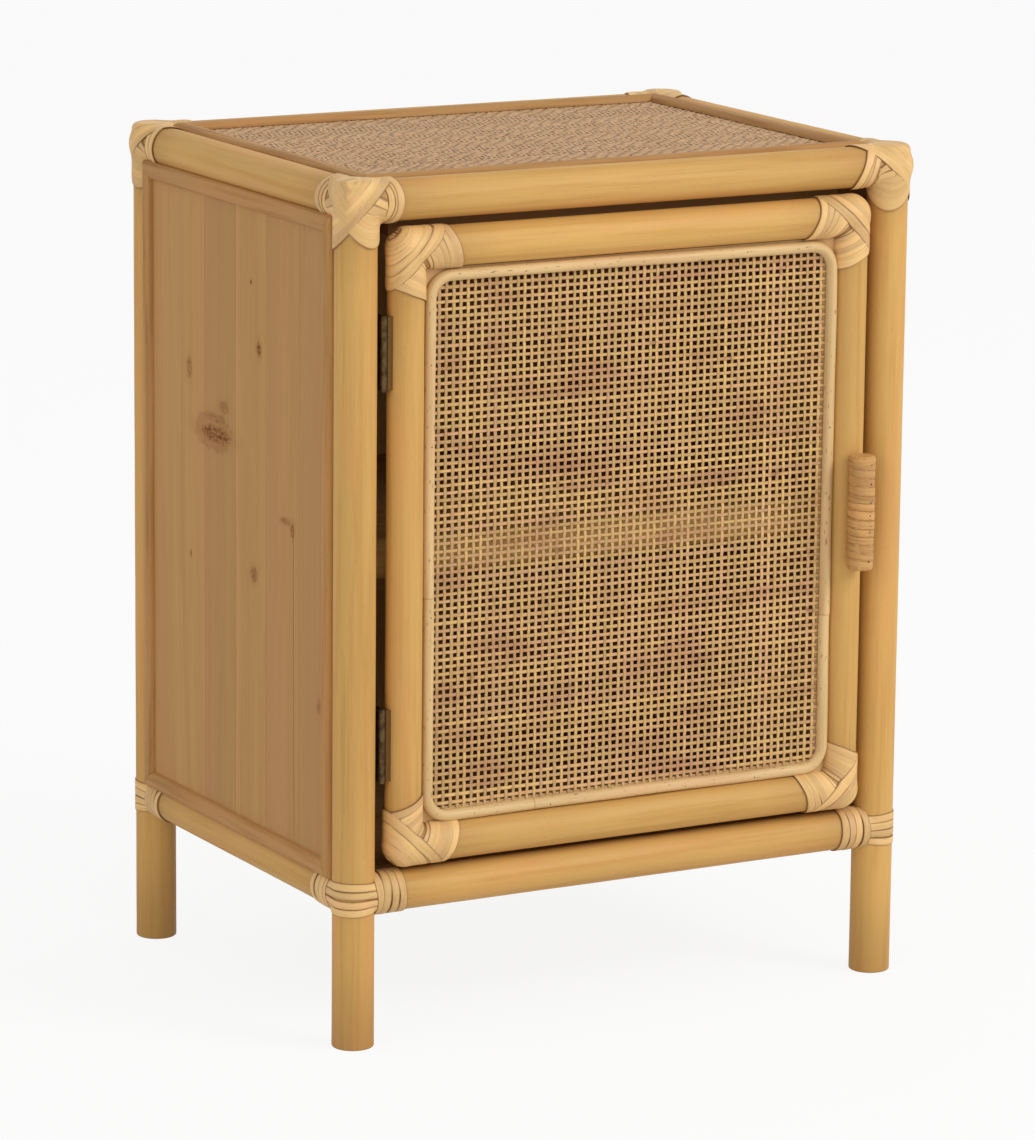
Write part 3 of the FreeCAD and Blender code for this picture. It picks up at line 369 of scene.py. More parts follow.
def make_pine_grain():
    """Group: growth lines of a sawn board, wavering about straight lines along the third coordinate."""
    tree, given, result = new_group(
        "pine_grain",
        {"Vector": NOWHERE, "Tone": 0.5, "Base": shade(176, 136, 90), "Dark": shade(150, 108, 66),
         "Warm": shade(180, 130, 84)},
        ("Color", "Height", "Roughness"))
    drift = noise(tree, squeezed(tree, given["Vector"], 0.15), 14.0)
    bend = put(tree, "ShaderNodeCombineXYZ", {0: drift, 1: drift}).outputs[0]
    bent = vectors(tree, "ADD", given["Vector"], scaled(tree, bend, 0.03))
    drawn_out = squeezed(tree, bent, 0.012)
    lines = noise(tree, drawn_out, 330.0)
    broad = noise(tree, drawn_out, 60.0)
    wide = noise(tree, squeezed(tree, bent, 0.02), 22.0, 1.0)
    pores = noise(tree, squeezed(tree, given["Vector"], 0.05), 1800.0)
    color = given["Base"]
    for pattern, low, high, strength, tint in ((lines, 0.42, 0.75, 0.3, "Dark"),
                                               (broad, 0.4, 0.65, 0.4, "Dark"),
                                               (wide, 0.4, 0.62, 0.6, "Warm")):
        color = blend(tree, times(tree, spread(tree, pattern, low, high), strength), color, given[tint])
    light = plus(tree, spread(tree, given["Tone"], 0.0, 1.0, 0.82, 1.16), swing(tree, pores, 0.1))
    feed(tree, result, {"Color": lit(tree, color, light),
                        "Height": plus(tree, lines, times(tree, pores, 0.5)),
                        "Roughness": spread(tree, lines, 0.3, 0.8, 0.5, 0.64)})
    return tree


def make_knot():
    """Group: an oval knot, flecked with dark, or only a ring of it, laid over a colour with a faint halo."""
    tree, given, result = new_group(
        "knot",
        {"Color": KNOT_PALE, "Vector": NOWHERE, "Centre": NOWHERE, "Stretch": (1.0, 1.0, 1.0),
         "Strength": 1.0, "Ring": 0.0},
        ("Color",))
    away = vectors(tree, "SUBTRACT", given["Vector"], given["Centre"])
    away = vectors(tree, "MULTIPLY", away, given["Stretch"])
    far = put(tree, "ShaderNodeVectorMath", {0: away}, operation="LENGTH").outputs["Value"]
    far = plus(tree, far, swing(tree, noise(tree, given["Vector"], 170.0, 3.0, 0.65), 0.9))
    body = spread(tree, far, 1.15, 0.6)
    band = spread(tree, sums(tree, "ABSOLUTE", sums(tree, "SUBTRACT", far, 0.9)), 0.3, 0.08)
    mask = put(tree, "ShaderNodeMix", {0: given["Ring"], 2: body, 3: band}, data_type="FLOAT").outputs[0]
    halo = times(tree, spread(tree, far, 2.1, 0.9), times(tree, given["Strength"], 0.3))
    color = blend(tree, halo, given["Color"], KNOT_HALO)
    flecks = noise(tree, vectors(tree, "MULTIPLY", given["Vector"], (0.7, 0.7, 1.2)), 330.0, 3.0, 0.65)
    flecked = blend(tree, spread(tree, flecks, 0.4, 0.62), KNOT_PALE, KNOT_DARK)
    color = blend(tree, times(tree, mask, given["Strength"]), color, flecked)
    feed(tree, result, {"Color": color})
    return tree


CANE_GRAIN = make_cane_grain()
PINE_GRAIN = make_pine_grain()
KNOT = make_knot()


# ---------------------------------------------------------------- materials

CANE_SHEEN = 0.35
PINE_SHEEN = 0.08
JOINT_BROWN = shade(104, 70, 36)
# How a pattern along Z is turned to run along an axis
TURNED = {"x": (0.0, math.pi / 2, 0.0), "y": (math.pi / 2, 0.0, 0.0), "z": (0.0, 0.0, 0.0)}


def cane_material(name, base, dark, warm, patchy=False, depth=0.12, **settings):
    """Lacquered cane: the shared grain in its own colours, with a bump of depth millimetres.

    On patchy cane, pinkish-brown patches and darker spots run over neighbouring strands.
    """
    material, tree, shader = new_material(name, {"Specular IOR Level": CANE_SHEEN})
    inputs = {label.title(): attribute(tree, label) for label in ("tone", "edge")}
    inputs.update(settings, Vector=attribute(tree, "grain"), Base=shade(*base), Dark=shade(*dark),
                  Warm=shade(*warm))
    grain = place(tree, CANE_GRAIN, inputs)
    color = grain["Color"]
    if patchy:
        spot = put(tree, "ShaderNodeTexCoord").outputs["Object"]
        patches = noise(tree, squeezed(tree, spot, 3.0), 13.0, 3.0, 0.6)
        spots = noise(tree, squeezed(tree, spot, 2.0), 45.0, 3.0, 0.65)
        color = blend(tree, spread(tree, patches, 0.46, 0.72, 0.0, 0.7), color, shade(168, 116, 82))
        color = blend(tree, spread(tree, spots, 0.6, 0.75, 0.0, 0.6), color, shade(130, 78, 46))
    wire(tree, shader, color, grain["Roughness"], grain["Height"], depth * MM, 0.5)
    return material


def pine_material(name, base, dark, warm=None, knots=(), along=None):
    """Pine: the shared board grain, along an axis or along the grain of a board of staves with dark joints.

    A knot is (centre, half width, half height, strength, one for a ring or nought).
    """
    material, tree, shader = new_material(name, {"Specular IOR Level": PINE_SHEEN})
    spot = put(tree, "ShaderNodeTexCoord").outputs["Object"]
    if along:
        vector = put(tree, "ShaderNodeMapping", {"Vector": spot, "Rotation": TURNED[along]}).outputs[0]
        tone = 0.5
    else:
        vector = attribute(tree, "grain")
        tone = attribute(tree, "tone")
    grain = place(tree, PINE_GRAIN, {"Vector": vector, "Tone": tone, "Base": shade(*base),
                                     "Dark": shade(*dark), "Warm": shade(*(warm or base))})
    color = grain["Color"]
    for centre, half_across, half_up, strength, ring in knots:
        stretch = (1 / half_across, 1 / half_across, 1 / half_up)
        color = place(tree, KNOT, {"Color": color, "Vector": spot, "Centre": centre, "Stretch": stretch,
                                   "Strength": strength, "Ring": ring})["Color"]
    if not along:
        color = blend(tree, spread(tree, tone, 0.12, 0.0, 0.0, 0.8), color, JOINT_BROWN)
    wire(tree, shader, color, grain["Roughness"], grain["Height"], 0.15 * MM, 0.4)
    return material


def metal_material(name, base, dark, roughness, metallic=1.0):
    """Metal or plastic with cloudy tarnish."""
    material, tree, shader = new_material(name, {"Roughness": roughness, "Metallic": metallic})
    cloud = noise(tree, put(tree, "ShaderNodeTexCoord").outputs["Object"], 180.0, 4.0, 0.6)
    color = blend(tree, spread(tree, cloud, 0.35, 0.65), shade(*base), shade(*dark))
    gloss = spread(tree, cloud, 0.3, 0.7, roughness - 0.08, roughness + 0.12)
    wire(tree, shader, color, gloss, cloud, 0.05 * MM, 0.4)
    return material


# Edging sets how strongly painted shade darkens the edges of strips and strands, and the poles towards their
# ends
POLE = cane_material("pole", (209, 163, 90), (190, 139, 70), (213, 153, 86), Scale=0.8, Warmth=0.5,
                     Edging=0.3, Dullness=0.6, Specks=0.08)
TRIM = cane_material("cane_trim", (182, 134, 75), (147, 100, 50), (188, 130, 70), Scale=1.2, Streaks=0.6,
                     Dullness=0.62)
STRIP = cane_material("cane_strip", (225, 184, 121), (196, 150, 88), (226, 176, 124), Scale=1.8, Warmth=0.5,
                      Edging=0.85, Dullness=0.55)
RING = cane_material("cane_ring", (222, 188, 132), (196, 152, 96), (224, 180, 130), Scale=1.2, Warmth=0.5,
                     Specks=0.6)
WRAP = cane_material("cane_wrap", (202, 154, 92), (166, 114, 60), (204, 144, 90), Scale=1.8, Streaks=0.7,
                     Warmth=0.5, Edging=0.45, Dullness=0.55, Specks=0.5)
MAT = cane_material("cane_mat", (203, 163, 118), (160, 118, 74), (206, 158, 118), Scale=1.8, Warmth=0.5,
                    Edging=0.85, Dullness=0.6)
WEBBING = cane_material("cane_webbing", (213, 174, 110), (176, 130, 76), (210, 160, 120), patchy=True,
                        depth=0.08, Scale=1.6, Warmth=0.7, Edging=0.4)
BOARD_X = pine_material("pine_across", (168, 124, 76), (136, 94, 52), along="x")
BOARD_Y = pine_material("pine_deep", (168, 124, 76), (136, 94, 52), along="y")
# The hinge packers' pine is painted darker with the shade of the narrow gap beside the hinge
PACKER_PINE_IN_SHADE = pine_material("pine_packer_shaded", (112, 78, 38), (88, 60, 30), along="z")
BACKING = pine_material("backing", (214, 176, 122), (190, 146, 96), along="z")
BRASS = metal_material("aged_brass", (104, 86, 60), (72, 56, 38), 0.45)
STEEL = metal_material("steel", (190, 190, 188), (150, 150, 150), 0.3)
BRAD_STEEL = metal_material("brad_steel", (120, 96, 66), (84, 62, 40), 0.5)
MAGNET = metal_material("magnet", (70, 70, 72), (50, 50, 52), 0.5, 0.6)
PLASTIC = metal_material("brown_plastic", (96, 66, 42), (84, 56, 36), 0.45, 0.0)


# ---------------------------------------------------------------- poles

POLE_SIDES = 56
POLE_STEP = 12 * MM
POLE_RIPPLE = 0.14 * MM
POLE_WAVES = (110 * MM, 47 * MM)
POLE_TONES = (0.4, 0.62)
# How far from its ends a pole is tinted
END_TINT = 200 * MM


def end_rows(radius, rounding):
    """Rows of a pole's end, over its flat and round a quarter circle: distance from the end, and radius."""
    turn = np.linspace(0, math.pi / 2, 5 if rounding else 1)
    away = rounding * (1 - np.cos(turn))
    size = radius - rounding * (1 - np.sin(turn))
    return np.append([0.0, 0.0], away), np.append([0.35 * size[0], 0.7 * size[0]], size)


def add_pole(shape, start, end, radius, rounding=(0.0, 0.0), seat=None, tint=1.0):
    """Round pole: a circle carried from start to end. Its radius dips in slow waves round and along it.

    With a seat, both ends are hollowed to a round pole of that radius which crosses them there: by the root
    of its radius squared less the side offset squared.
    """
    start, way = np.array(start), np.subtract(end, start)
    length, axis = np.linalg.norm(way), unit(way)
    second = UP if abs(axis[Z]) < 0.5 else AXES[Y]
    first = np.cross(second, axis)
    (away_low, size_low), (away_high, size_high) = (end_rows(radius, amount) for amount in rounding)
    share = np.linspace(0, 1, max(int(length / POLE_STEP), 4))[1:-1]
    along = np.concatenate([0 * away_low, share, 0 * away_high + 1])
    from_low = np.concatenate([away_low, 0 * share + rounding[0], 0 * away_high])
    from_high = np.concatenate([0 * away_low, 0 * share + rounding[1], away_high[::-1]])
    size = np.concatenate([size_low, 0 * share + radius, size_high[::-1]])
    angle = np.linspace(0, FULL_TURN, POLE_SIDES, endpoint=False)[:, None]
    phase = random.uniform(0, FULL_TURN, 4)
    slow, quick = (math.pi * along * length / wave for wave in POLE_WAVES)
    wave = np.sin(slow + phase[0]) * np.cos(angle + phase[1])
    wave = wave + np.sin(quick + phase[2]) * np.cos(2 * angle + phase[3])
    size = size - POLE_RIPPLE * (0.5 + 0.25 * wave) * ((along > 0) & (along < 1))
    across, upward = size * np.cos(angle), size * np.sin(angle)
    hollow = np.sqrt(np.maximum((seat + SEAT_GAP) ** 2 - across ** 2, 0.0)) if seat else 0.0
    run = (hollow + from_low) * (1 - along) + (length - hollow - from_high) * along
    local = stacked(across, upward, run)
    shift = grain_shift()
    edge = tint * np.clip(1 - np.minimum(run, length - run) / END_TINT, 0, 1)
    add_tube(shape, start + local @ [first, second, axis], local + shift, random.uniform(*POLE_TONES), edge)


def make_pole(name, body, *args, **options):
    """One pole as a piece of its own, which stands for the CAD node of that name."""
    shape = new_shape()
    add_pole(shape, *args, **options)
    finish_piece(name + "_pole", shape, POLE, body, name)


def make_frame_poles():
    """Posts, rails and the shelf's front edge."""
    for row, y in POST_Y.items():
        for column, side in SIDES.items():
            x = side * POST_X
            make_pole("post_" + row + "_" + column, "frame", (x, y, 0), (x, y, HEIGHT), POST_R,
                      rounding=(FOOT_ROUNDING, POST_TOP_ROUNDING))
        for level, z in RAIL_Z.items():
            make_pole(level + "_rail_" + row, "frame", (-POST_X, y, z), (POST_X, y, z), RAIL_R, seat=POST_R)
    for column, side in SIDES.items():
        for level, z in RAIL_Z.items():
            make_pole(level + "_rail_" + column, "frame", (side * POST_X, POST_Y["front"], z),
                      (side * POST_X, POST_Y["back"], z), RAIL_R, seat=POST_R)
    low, high = corners("shelf_pole")
    _, y, z = middle("shelf_pole")
    make_pole("shelf_pole", "frame", (low[X], y, z), (high[X], y, z), SHELF_POLE_R,
              rounding=(SHELF_POLE_ROUNDING, SHELF_POLE_ROUNDING))


def make_door_poles():
    """Stiles with domed ends, and rails hollowed to the round of the stiles."""
    for side, x in STILE_X.items():
        make_pole("door_stile_" + side, "door", (x, DOOR_Y, DOOR_LOW), (x, DOOR_Y, DOOR_HIGH), STILE_R,
                  rounding=(DOME * STILE_R, DOME * STILE_R))
    for level, z in DOOR_RAIL_Z.items():
        make_pole("door_rail_" + level, "door", (STILE_X["hinge"], DOOR_Y, z), (STILE_X["handle"], DOOR_Y, z),
                  DOOR_RAIL_R, seat=STILE_R)


# ---------------------------------------------------------------- half-round trims

TRIM_W = 12.5 * MM
TRIM_H = 5.0 * MM
TRIM_WAVE = 0.12 * MM
MITRE_GAP = 0.15 * MM
# Each frame of trims: its node, the axis that it faces along, and which way
EDGINGS = {"side_edging_left": ("side_trim_left", X, -1), "side_edging_right": ("side_trim_right", X, 1),
           "back_edging": ("back_trim", Y, 1), "top_edging": ("top_trim", Z, 1)}


def add_trim(shape, centre, length, inward, outward):
    """Half-round bar with mitred ends: half an ellipse carried along the edge that faces away from inward.

    At a distance q from its outer edge the bar is q shorter at each end, so that four meet at 45 degrees.
    """
    tone = random.uniform(0.35, 0.65)
    turn = np.linspace(0, math.pi, 13)[:, None]
    into = TRIM_W / 2 * (1 + np.cos(turn))
    rise = TRIM_H * np.sin(turn) ** 0.8
    along = np.linspace(-1, 1, 41) * (length / 2 - MITRE_GAP - into)
    wave = TRIM_WAVE * (np.sin(along / (31 * MM) + random.uniform(0, 6)) - 1)
    lift = np.maximum(rise + np.where(rise > 1 * MM, wave, 0.0), 0.0)
    local = stacked(into, lift, along)
    points = centre + local @ [inward, outward, np.cross(inward, outward)]
    add_tube(shape, points, local + grain_shift(), tone)


def make_trims():
    """Four trims round the mat and round each upright panel, each where its CAD node lies."""
    for name, (node, facing, way) in EDGINGS.items():
        low, high = corners(node)
        centre, size = (low + high) / 2, high - low
        centre[facing] = low[facing] if way > 0 else high[facing]
        first, second = (axis for axis in (X, Y, Z) if axis != facing)
        shape = new_shape()
        for across, along in ((first, second), (second, first)):
            for side in (-AXES[across], AXES[across]):
                add_trim(shape, centre + side * size[across] / 2, size[along], -side, way * AXES[facing])
        finish_piece(name, shape, TRIM, "frame", node)


# ---------------------------------------------------------------- pine panels

PANEL_T = 9.0 * MM
BOARD_ROWS = 25
PANEL_COLORS = ((187, 144, 89), (170, 126, 76), (188, 139, 92))
# Joints between staves run past the board at both ends, and any groove taller than this is such a joint
JOINT_PAST = 100 * MM
JOINT_HEIGHT = 400 * MM
JOINT_HALF_W = 0.35 * MM
JOINT_DEPTH = 0.3 * MM
# Each board: its node, its material, the axis that it faces along, which way, and its joints, cracks and
# knots in millimetres from the panel's middle and from the floor. A crack is (place at its foot, place at its
# head, foot height, head height, half width, depth), and a knot is (place, height, half width, half height,
# strength from 0 to 1, and another 1 for a ring).
BOARDS = {
    "side_board_left": (
        "side_panel_left", "pine_left", X, -1, (51.5, 2.9, -44.6, -95.3),
        ((-88.5, -86.8, 130, 345, 0.7, 1.4),),
        ((-33.7, 467.2, 3.8, 6.2, 0.9), (76.5, 437.2, 4.5, 8.5, 0.5), (37.5, 397.5, 27.0, 12.5, 0.3, 1.0),
         (33.6, 407.4, 15.0, 4.0, 0.4), (33.6, 396.2, 23.0, 6.8, 1.0), (20.4, 417.5, 8.5, 4.8, 0.45),
         (-75.0, 354.0, 8.5, 3.0, 0.6), (-85.5, 349.0, 3.2, 5.0, 0.8), (-26.6, 307.3, 6.2, 6.8, 0.7),
         (-126.0, 234.0, 4.0, 6.0, 0.4), (-21.5, 512.5, 1.6, 1.6, 0.9), (74.2, 303.2, 1.3, 2.8, 0.7))),
    "side_board_right": (
        "side_panel_right", "pine_right", X, 1, (95, 36, -8, -67), (),
        ((61, 241, 10, 9, 0.75), (-88, 466, 6, 9, 0.6), (-30, 352, 4, 6, 0.7), (102, 411, 3.5, 6, 0.6),
         (10, 187, 3.5, 5, 0.5))),
    "back_board": (
        "back_panel", "pine_back", Y, 1, (-138, -91, -29, 22, 88, 131), (),
        ((-118, 452, 11, 10, 0.7), (71, 262, 8, 7, 0.7), (142, 498, 4, 7, 0.6), (-34, 171, 3.5, 5, 0.6),
         (-160, 232, 5, 4, 0.5), (12, 381, 3, 5, 0.7)))}


def add_slab(shape, front, back, grain, tone):
    """Closed board between two grids of the same size: the front one faces along du x dv."""
    first = add_grid(shape, front, grain, tone)
    second = add_points(shape, back, grain, tone)
    index = np.arange(tone.size).reshape(tone.shape)
    rear = stacked(index[:-1, :-1], index[:-1, 1:], index[1:, 1:], index[1:, :-1])
    shape["quads"].append(second + rear.reshape(-1, 4))
    rim = np.concatenate([index[:-1, 0], index[-1, :-1], index[:0:-1, -1], index[0, :0:-1]])
    after = np.roll(rim, -1)
    shape["quads"].append(stacked(second + rim, second + after, first + after, first + rim))


def add_board(shape, low, high, facing, way, grooves):
    """Upright board of staves: its face is flat but for narrow V grooves, which may lean and fade out.

    A groove is a column of points at its bottom between two at its sides, and runs from its foot to its head.
    """
    side = 1 - facing
    heights = np.linspace(low[Z], high[Z], BOARD_ROWS)
    level = np.zeros(BOARD_ROWS)
    tone = random.uniform(*POLE_TONES)
    columns = [(level + low[side], level, level + tone)]
    for foot, head, foot_z, head_z, half, depth in sorted(grooves):
        is_joint = head_z - foot_z > JOINT_HEIGHT
        share = (heights - foot_z) / (head_z - foot_z)
        spot = foot + (head - foot) * np.clip(share, 0, 1)
        inside = np.clip(np.minimum(share, 1 - share) * 12 + 1, 0, 1)
        reach = half * inside + 0.01 * MM
        beyond = random.uniform(*POLE_TONES) if is_joint else tone
        dark = np.where(inside > 0.5, 0.08 if is_joint else 0.0, tone)
        columns += [(spot - reach, level, level + tone), (spot, depth * inside, dark),
                    (spot + reach, level, level + beyond)]
        tone = beyond
    columns.append((level + high[side], level, level + tone))
    spots, depths, tones = np.array(columns).transpose(1, 0, 2)
    face = (high if way > 0 else low)[facing]
    flat = spots[..., None] * AXES[side] + heights[:, None] * UP
    front = flat + (face - way * depths)[..., None] * AXES[facing]
    back = flat + (face - way * PANEL_T) * AXES[facing]
    grids = [front, back, stacked(spots, depths, heights), tones]
    if way * np.cross(AXES[side], UP)[facing] < 0:
        grids = [grid[::-1] for grid in grids]
    add_slab(shape, *grids)


def make_panels():
    """Left, right and back panel, each with its own staves and knots."""
    for name, (node, material_name, facing, way, joints, cracks, knots) in BOARDS.items():
        low, high = corners(node)
        side = 1 - facing
        mid = MIDDLE_Y if side == Y else 0.0
        grooves = [(mid + foot * MM, mid + head * MM, *(size * MM for size in sizes))
                   for foot, head, *sizes in cracks]
        for joint in joints:
            spot = mid + joint * MM
            grooves.append((spot, spot, low[Z] - JOINT_PAST, high[Z] + JOINT_PAST, JOINT_HALF_W, JOINT_DEPTH))
        spots = []
        for place_on, height, half_across, half_up, strength, *ring in knots:
            centre = (high if way > 0 else low).copy()
            centre[side], centre[Z] = mid + place_on * MM, height * MM
            spots.append((tuple(centre), half_across * MM, half_up * MM, strength, ring[0] if ring else 0.0))
        shape = new_shape()
        add_board(shape, low, high, facing, way, grooves)
        finish_piece(name, shape, pine_material(material_name, *PANEL_COLORS, spots), "frame", node)


# ---------------------------------------------------------------- woven mat of the top

MAT_PITCH = 2.95 * MM
MAT_STRAND_W = 2.62 * MM
MAT_STRAND_T = 0.55 * MM
MAT_WAVE = 0.42 * MM
MAT_INSET = 1.5 * MM
MAT_MIDDLE = 0.75 * MM
# How far the mat stays above its CAD node's underside, and may stand over its top
MAT_CLEAR = 0.02 * MM
MAT_OVER = 0.35 * MM
MAT_SECTION = np.array([-0.5, 0.0, 0.5])[:, None]
MAT_SECTION_RISE = np.array([-0.15, 0.5, -0.15])[:, None]


def make_mat():
    """Close twill of fine cane, over two and under two, whose lean turns to and fro in bands of uneven depth.

    Both ways share one phase: a quarter turn for each pitch along X, plus or minus one for each pitch along
    Y, plus three slow waves. A lengthwise strand rises by the phase's sine and a widthwise one falls by it.
    """
    low, high = corners("top_mat")
    mid = (low + high) / 2
    half = (high - low) / 2 - MAT_INSET
    band = random.uniform(5, 12, 40)
    turning = np.append(0.0, np.cumsum(band))
    lean = np.append(0.0, np.cumsum(band * (-1.0) ** np.arange(len(band))))
    shifts = random.uniform(0, 6, 3)

    def phase(x, y):
        slow = (0.45 * np.sin(x / 0.023 + y / 0.041 + shifts[0])
                + 0.4 * np.sin(x / 0.012 - y / 0.019 + shifts[1])
                + 0.3 * np.sin(x / 0.0067 + y / 0.0083 + shifts[2]))
        return math.pi / 2 * (x / MAT_PITCH + np.interp((y + half[Y]) / MAT_PITCH, turning, lean) + slow)

    for name, way, side, sign in (("mat_lengths", X, Y, 1), ("mat_widths", Y, X, -1)):
        count = int(2 * half[side] / MAT_PITCH)
        run = np.linspace(-half[way], half[way], int(4 * half[way] / MAT_PITCH))
        shape = new_shape()
        for number in range(count):
            width = MAT_STRAND_W * random.uniform(0.86, 1.1)
            offset = (number - (count - 1) / 2) * MAT_PITCH + random.normal(0, 0.14) * MM
            across = offset + MAT_SECTION * width + 0 * run
            wave = sign * np.sin(phase(run, offset) if way == X else phase(offset, run))
            lift = low[Z] + MAT_MIDDLE + MAT_WAVE * wave + MAT_SECTION_RISE * MAT_STRAND_T
            points = np.empty((*lift.shape, 3))
            points[..., way], points[..., side] = run + mid[way], across + mid[side]
            points[..., Z] = np.clip(lift, low[Z] + MAT_CLEAR, high[Z] + MAT_OVER)
            grain = stacked(across, 0.0, run) + grain_shift()
            # Painted shade and light: a strand's tone falls where it dips under the crossing strands and
            # rises on its crests, on top of its random tone
            tone = random.normal(0.5, 0.2) + random.normal(0, 0.2, len(run)) + 0.16 * wave
            edge = np.broadcast_to(np.abs(MAT_SECTION) * 2, lift.shape)
            add_tube(shape, points[::sign], grain[::sign], np.clip(tone, 0, 1), edge[::sign])
        finish_piece(name, shape, MAT, "frame", "top_mat", sharp=60)


# ---------------------------------------------------------------- cane webbing of the door

RING_W = 8.0 * MM
RING_H = 4.7 * MM
RING_CORNER_R = 20.0 * MM
# Heights of the butt joints in the ring's left and right side, and the place of the one in its foot
RING_JOINTS = {"left": 312 * MM, "right": 269 * MM, "foot": -75 * MM}
JOINT_GAP = 0.15 * MM
BRAD_STEP = 58 * MM
BRAD_R = 0.5 * MM
# How far inside the ring's outline the weave ends
WEB_INSET = 0.45 * RING_W
WEB_PITCH = {X: 5.5 * MM, Z: 5.05 * MM}
WEB_STRAND_W = 2.35 * MM
WEB_STRAND_T = 0.4 * MM
WEB_WAVE = 0.22 * MM
WEB_DRIFT = 0.16 * MM
SAMPLES_PER_CROSSING = 4
STRAND_SECTION = np.array([(-0.5, -0.15), (-0.36, 0.5), (0.36, 0.5), (0.5, -0.15), (0.0, -0.5)])


def half_span(offset, half_across, half_along, radius):
    """Half length of a rounded rectangle's chord at an offset from its middle line."""
    into = np.clip(np.abs(offset) - (half_across - radius), 0, radius)
    return half_along - radius + np.sqrt(radius ** 2 - into ** 2)


def add_strand(shape, centre, way, side, half_length, phase, width):
    """Flat strand that rides over one crossing and under the next: a clipped cosine along its length."""
    pitch = WEB_PITCH[way]
    count = int(2 * half_length / pitch * SAMPLES_PER_CROSSING)
    run = np.linspace(-half_length, half_length, max(count, 8))
    height = WEB_WAVE * np.clip(1.35 * np.cos(math.pi * run / pitch + phase), -1, 1)
    drift = WEB_DRIFT * np.sin(run / (21 * MM) + random.uniform(0, 6)) * random.uniform(0.3, 1.0)
    across, rise = (column[:, None] for column in (STRAND_SECTION * (width, WEB_STRAND_T)).T)
    points = centre + stacked(run, across + drift, rise + height) @ [AXES[way], AXES[side], -AXES[Y]]
    if way == X:
        points, across = points[::-1], across[::-1]
    edge = np.broadcast_to(np.abs(across) / (0.5 * width), points.shape[:2])
    grain = stacked(across, 0.0, run) + grain_shift()
    add_tube(shape, points, grain, np.clip(random.normal(0.5, 0.25), 0, 1), edge)


def make_webbing():
    """Square weave of uprights and levels, cut off under the half-round ring."""
    low, high = corners("door_ring")
    half, mid = (high - low) / 2 - WEB_INSET, (low + high) / 2
    mid[Y] = middle("door_webbing")[Y]
    count = {way: int(2 * half[way] / WEB_PITCH[way]) for way in (X, Z)}
    for name, way, side, wander, widths in (("webbing_uprights", Z, X, 0.16, (0.9, 1.1)),
                                            ("webbing_levels", X, Z, 0.14, (0.88, 1.08))):
        shape = new_shape()
        for number in range(count[side]):
            offset = (number - (count[side] - 1) / 2) * WEB_PITCH[side]
            half_length = half_span(offset, half[side], half[way], RING_CORNER_R - WEB_INSET)
            centre = mid + (offset + random.normal(0, wander) * MM) * AXES[side]
            phase = math.pi * (number + (count[way] - 1) / 2 + (way == X))
            add_strand(shape, centre, way, side, half_length, phase, WEB_STRAND_W * random.uniform(*widths))
        finish_piece(name, shape, WEBBING, "door", "door_webbing")


def ring_path(low, high, radius):
    """Rounded rectangle, counter-clockwise from its right side's head: X, Z and the inward normal's X, Z."""
    path = []
    bends = ((high[X], high[Z]), (low[X], high[Z]), (low[X], low[Z]), (high[X], low[Z]))
    for number, (x, z) in enumerate(bends):
        angle = np.linspace(number, number + 1, 15) * math.pi / 2
        way = stacked(np.cos(angle), np.sin(angle))
        path.append(np.hstack([(x, z) + radius * way, -way]))
    return np.concatenate([*path, path[0][:1]])


def make_ring():
    """Half-round cane bent round the webbing in three lengths with butt joints, and its brads."""
    low, high = corners("door_ring")
    y = high[Y]
    half = RING_W / 2
    bend_r = RING_CORNER_R - half
    path = ring_path(low + RING_CORNER_R, high - RING_CORNER_R, bend_r)
    length = run_of(path[:, :2])
    total = length[-1]
    straight = high - low - 2 * RING_CORNER_R
    bend = bend_r * math.pi / 2
    left = bend * 2 + straight[X] + (high[Z] - RING_CORNER_R - RING_JOINTS["left"])
    foot = bend * 3 + straight[X] + straight[Z] + (RING_JOINTS["foot"] - low[X] - RING_CORNER_R)
    right = total - (high[Z] - RING_CORNER_R - RING_JOINTS["right"])
    turn = np.linspace(0, math.pi, 13)[:, None]
    rise = RING_H * np.sin(turn) ** 0.85

    def follow(run):
        return (np.interp(run % total, length, column) for column in path.T)

    shape = new_shape()
    for start, end in ((right - total, left), (left, foot), (foot, right)):
        run = np.linspace(start + JOINT_GAP, end - JOINT_GAP, int((end - start) / (3 * MM)))
        x, z, in_x, in_z = follow(run)
        wander = 0.22 * MM * np.sin(run / 0.043 + start) + 0.12 * MM * np.sin(run / 0.017)
        lift = rise * (1 - 0.04 * (1 + np.sin(run / 0.029 + start)))
        offset = half * np.cos(turn) + wander
        points = stacked(x + offset * in_x, y - lift, z + offset * in_z)
        add_tube(shape, points, stacked(offset, lift, run) + grain_shift(), random.uniform(0.4, 0.6))
    finish_piece("ring_cane", shape, RING, "door", "door_ring")
    brads = new_shape()
    for spot in np.arange(0.03, total, BRAD_STEP):
        x, z, _, _ = follow(spot + jitter(8 * MM))
        add_brad(brads, (x + jitter(1) * MM, y - RING_H * 0.90, z + jitter(1) * MM), -AXES[Y], BRAD_R)
    finish_piece("ring_brads", brads, BRAD_STEEL, "door")


def add_brad(shape, centre, outward, radius):
    """Head of a small brad: a low dome, a quarter circle turned about its axis."""
    first = unit(np.cross(outward, (0.3, 0.5, 0.8)))
    angle = np.linspace(0, FULL_TURN, 10, endpoint=False)[:, None]
    rise = np.array([-1.0, 0.1, 0.5, 0.7]) * radius
    wide = np.array([0.9, 1.0, 0.8, 0.4]) * radius
    local = stacked(wide * np.cos(angle), wide * np.sin(angle), rise)
    add_tube(shape, np.array(centre) + local @ [first, np.cross(outward, first), outward], 0 * local, 0.5)


# ---------------------------------------------------------------- strip bindings

# A strip's section: places across it and heights over its underside, in widths and thicknesses
SECTION_ACROSS = np.array([-0.5, -0.47, -0.3, 0.0, 0.3, 0.47, 0.5, 0.0])
SECTION_RISE = np.array([0.0, 0.7, 1.0, 1.06, 1.0, 0.7, 0.0, -0.25])
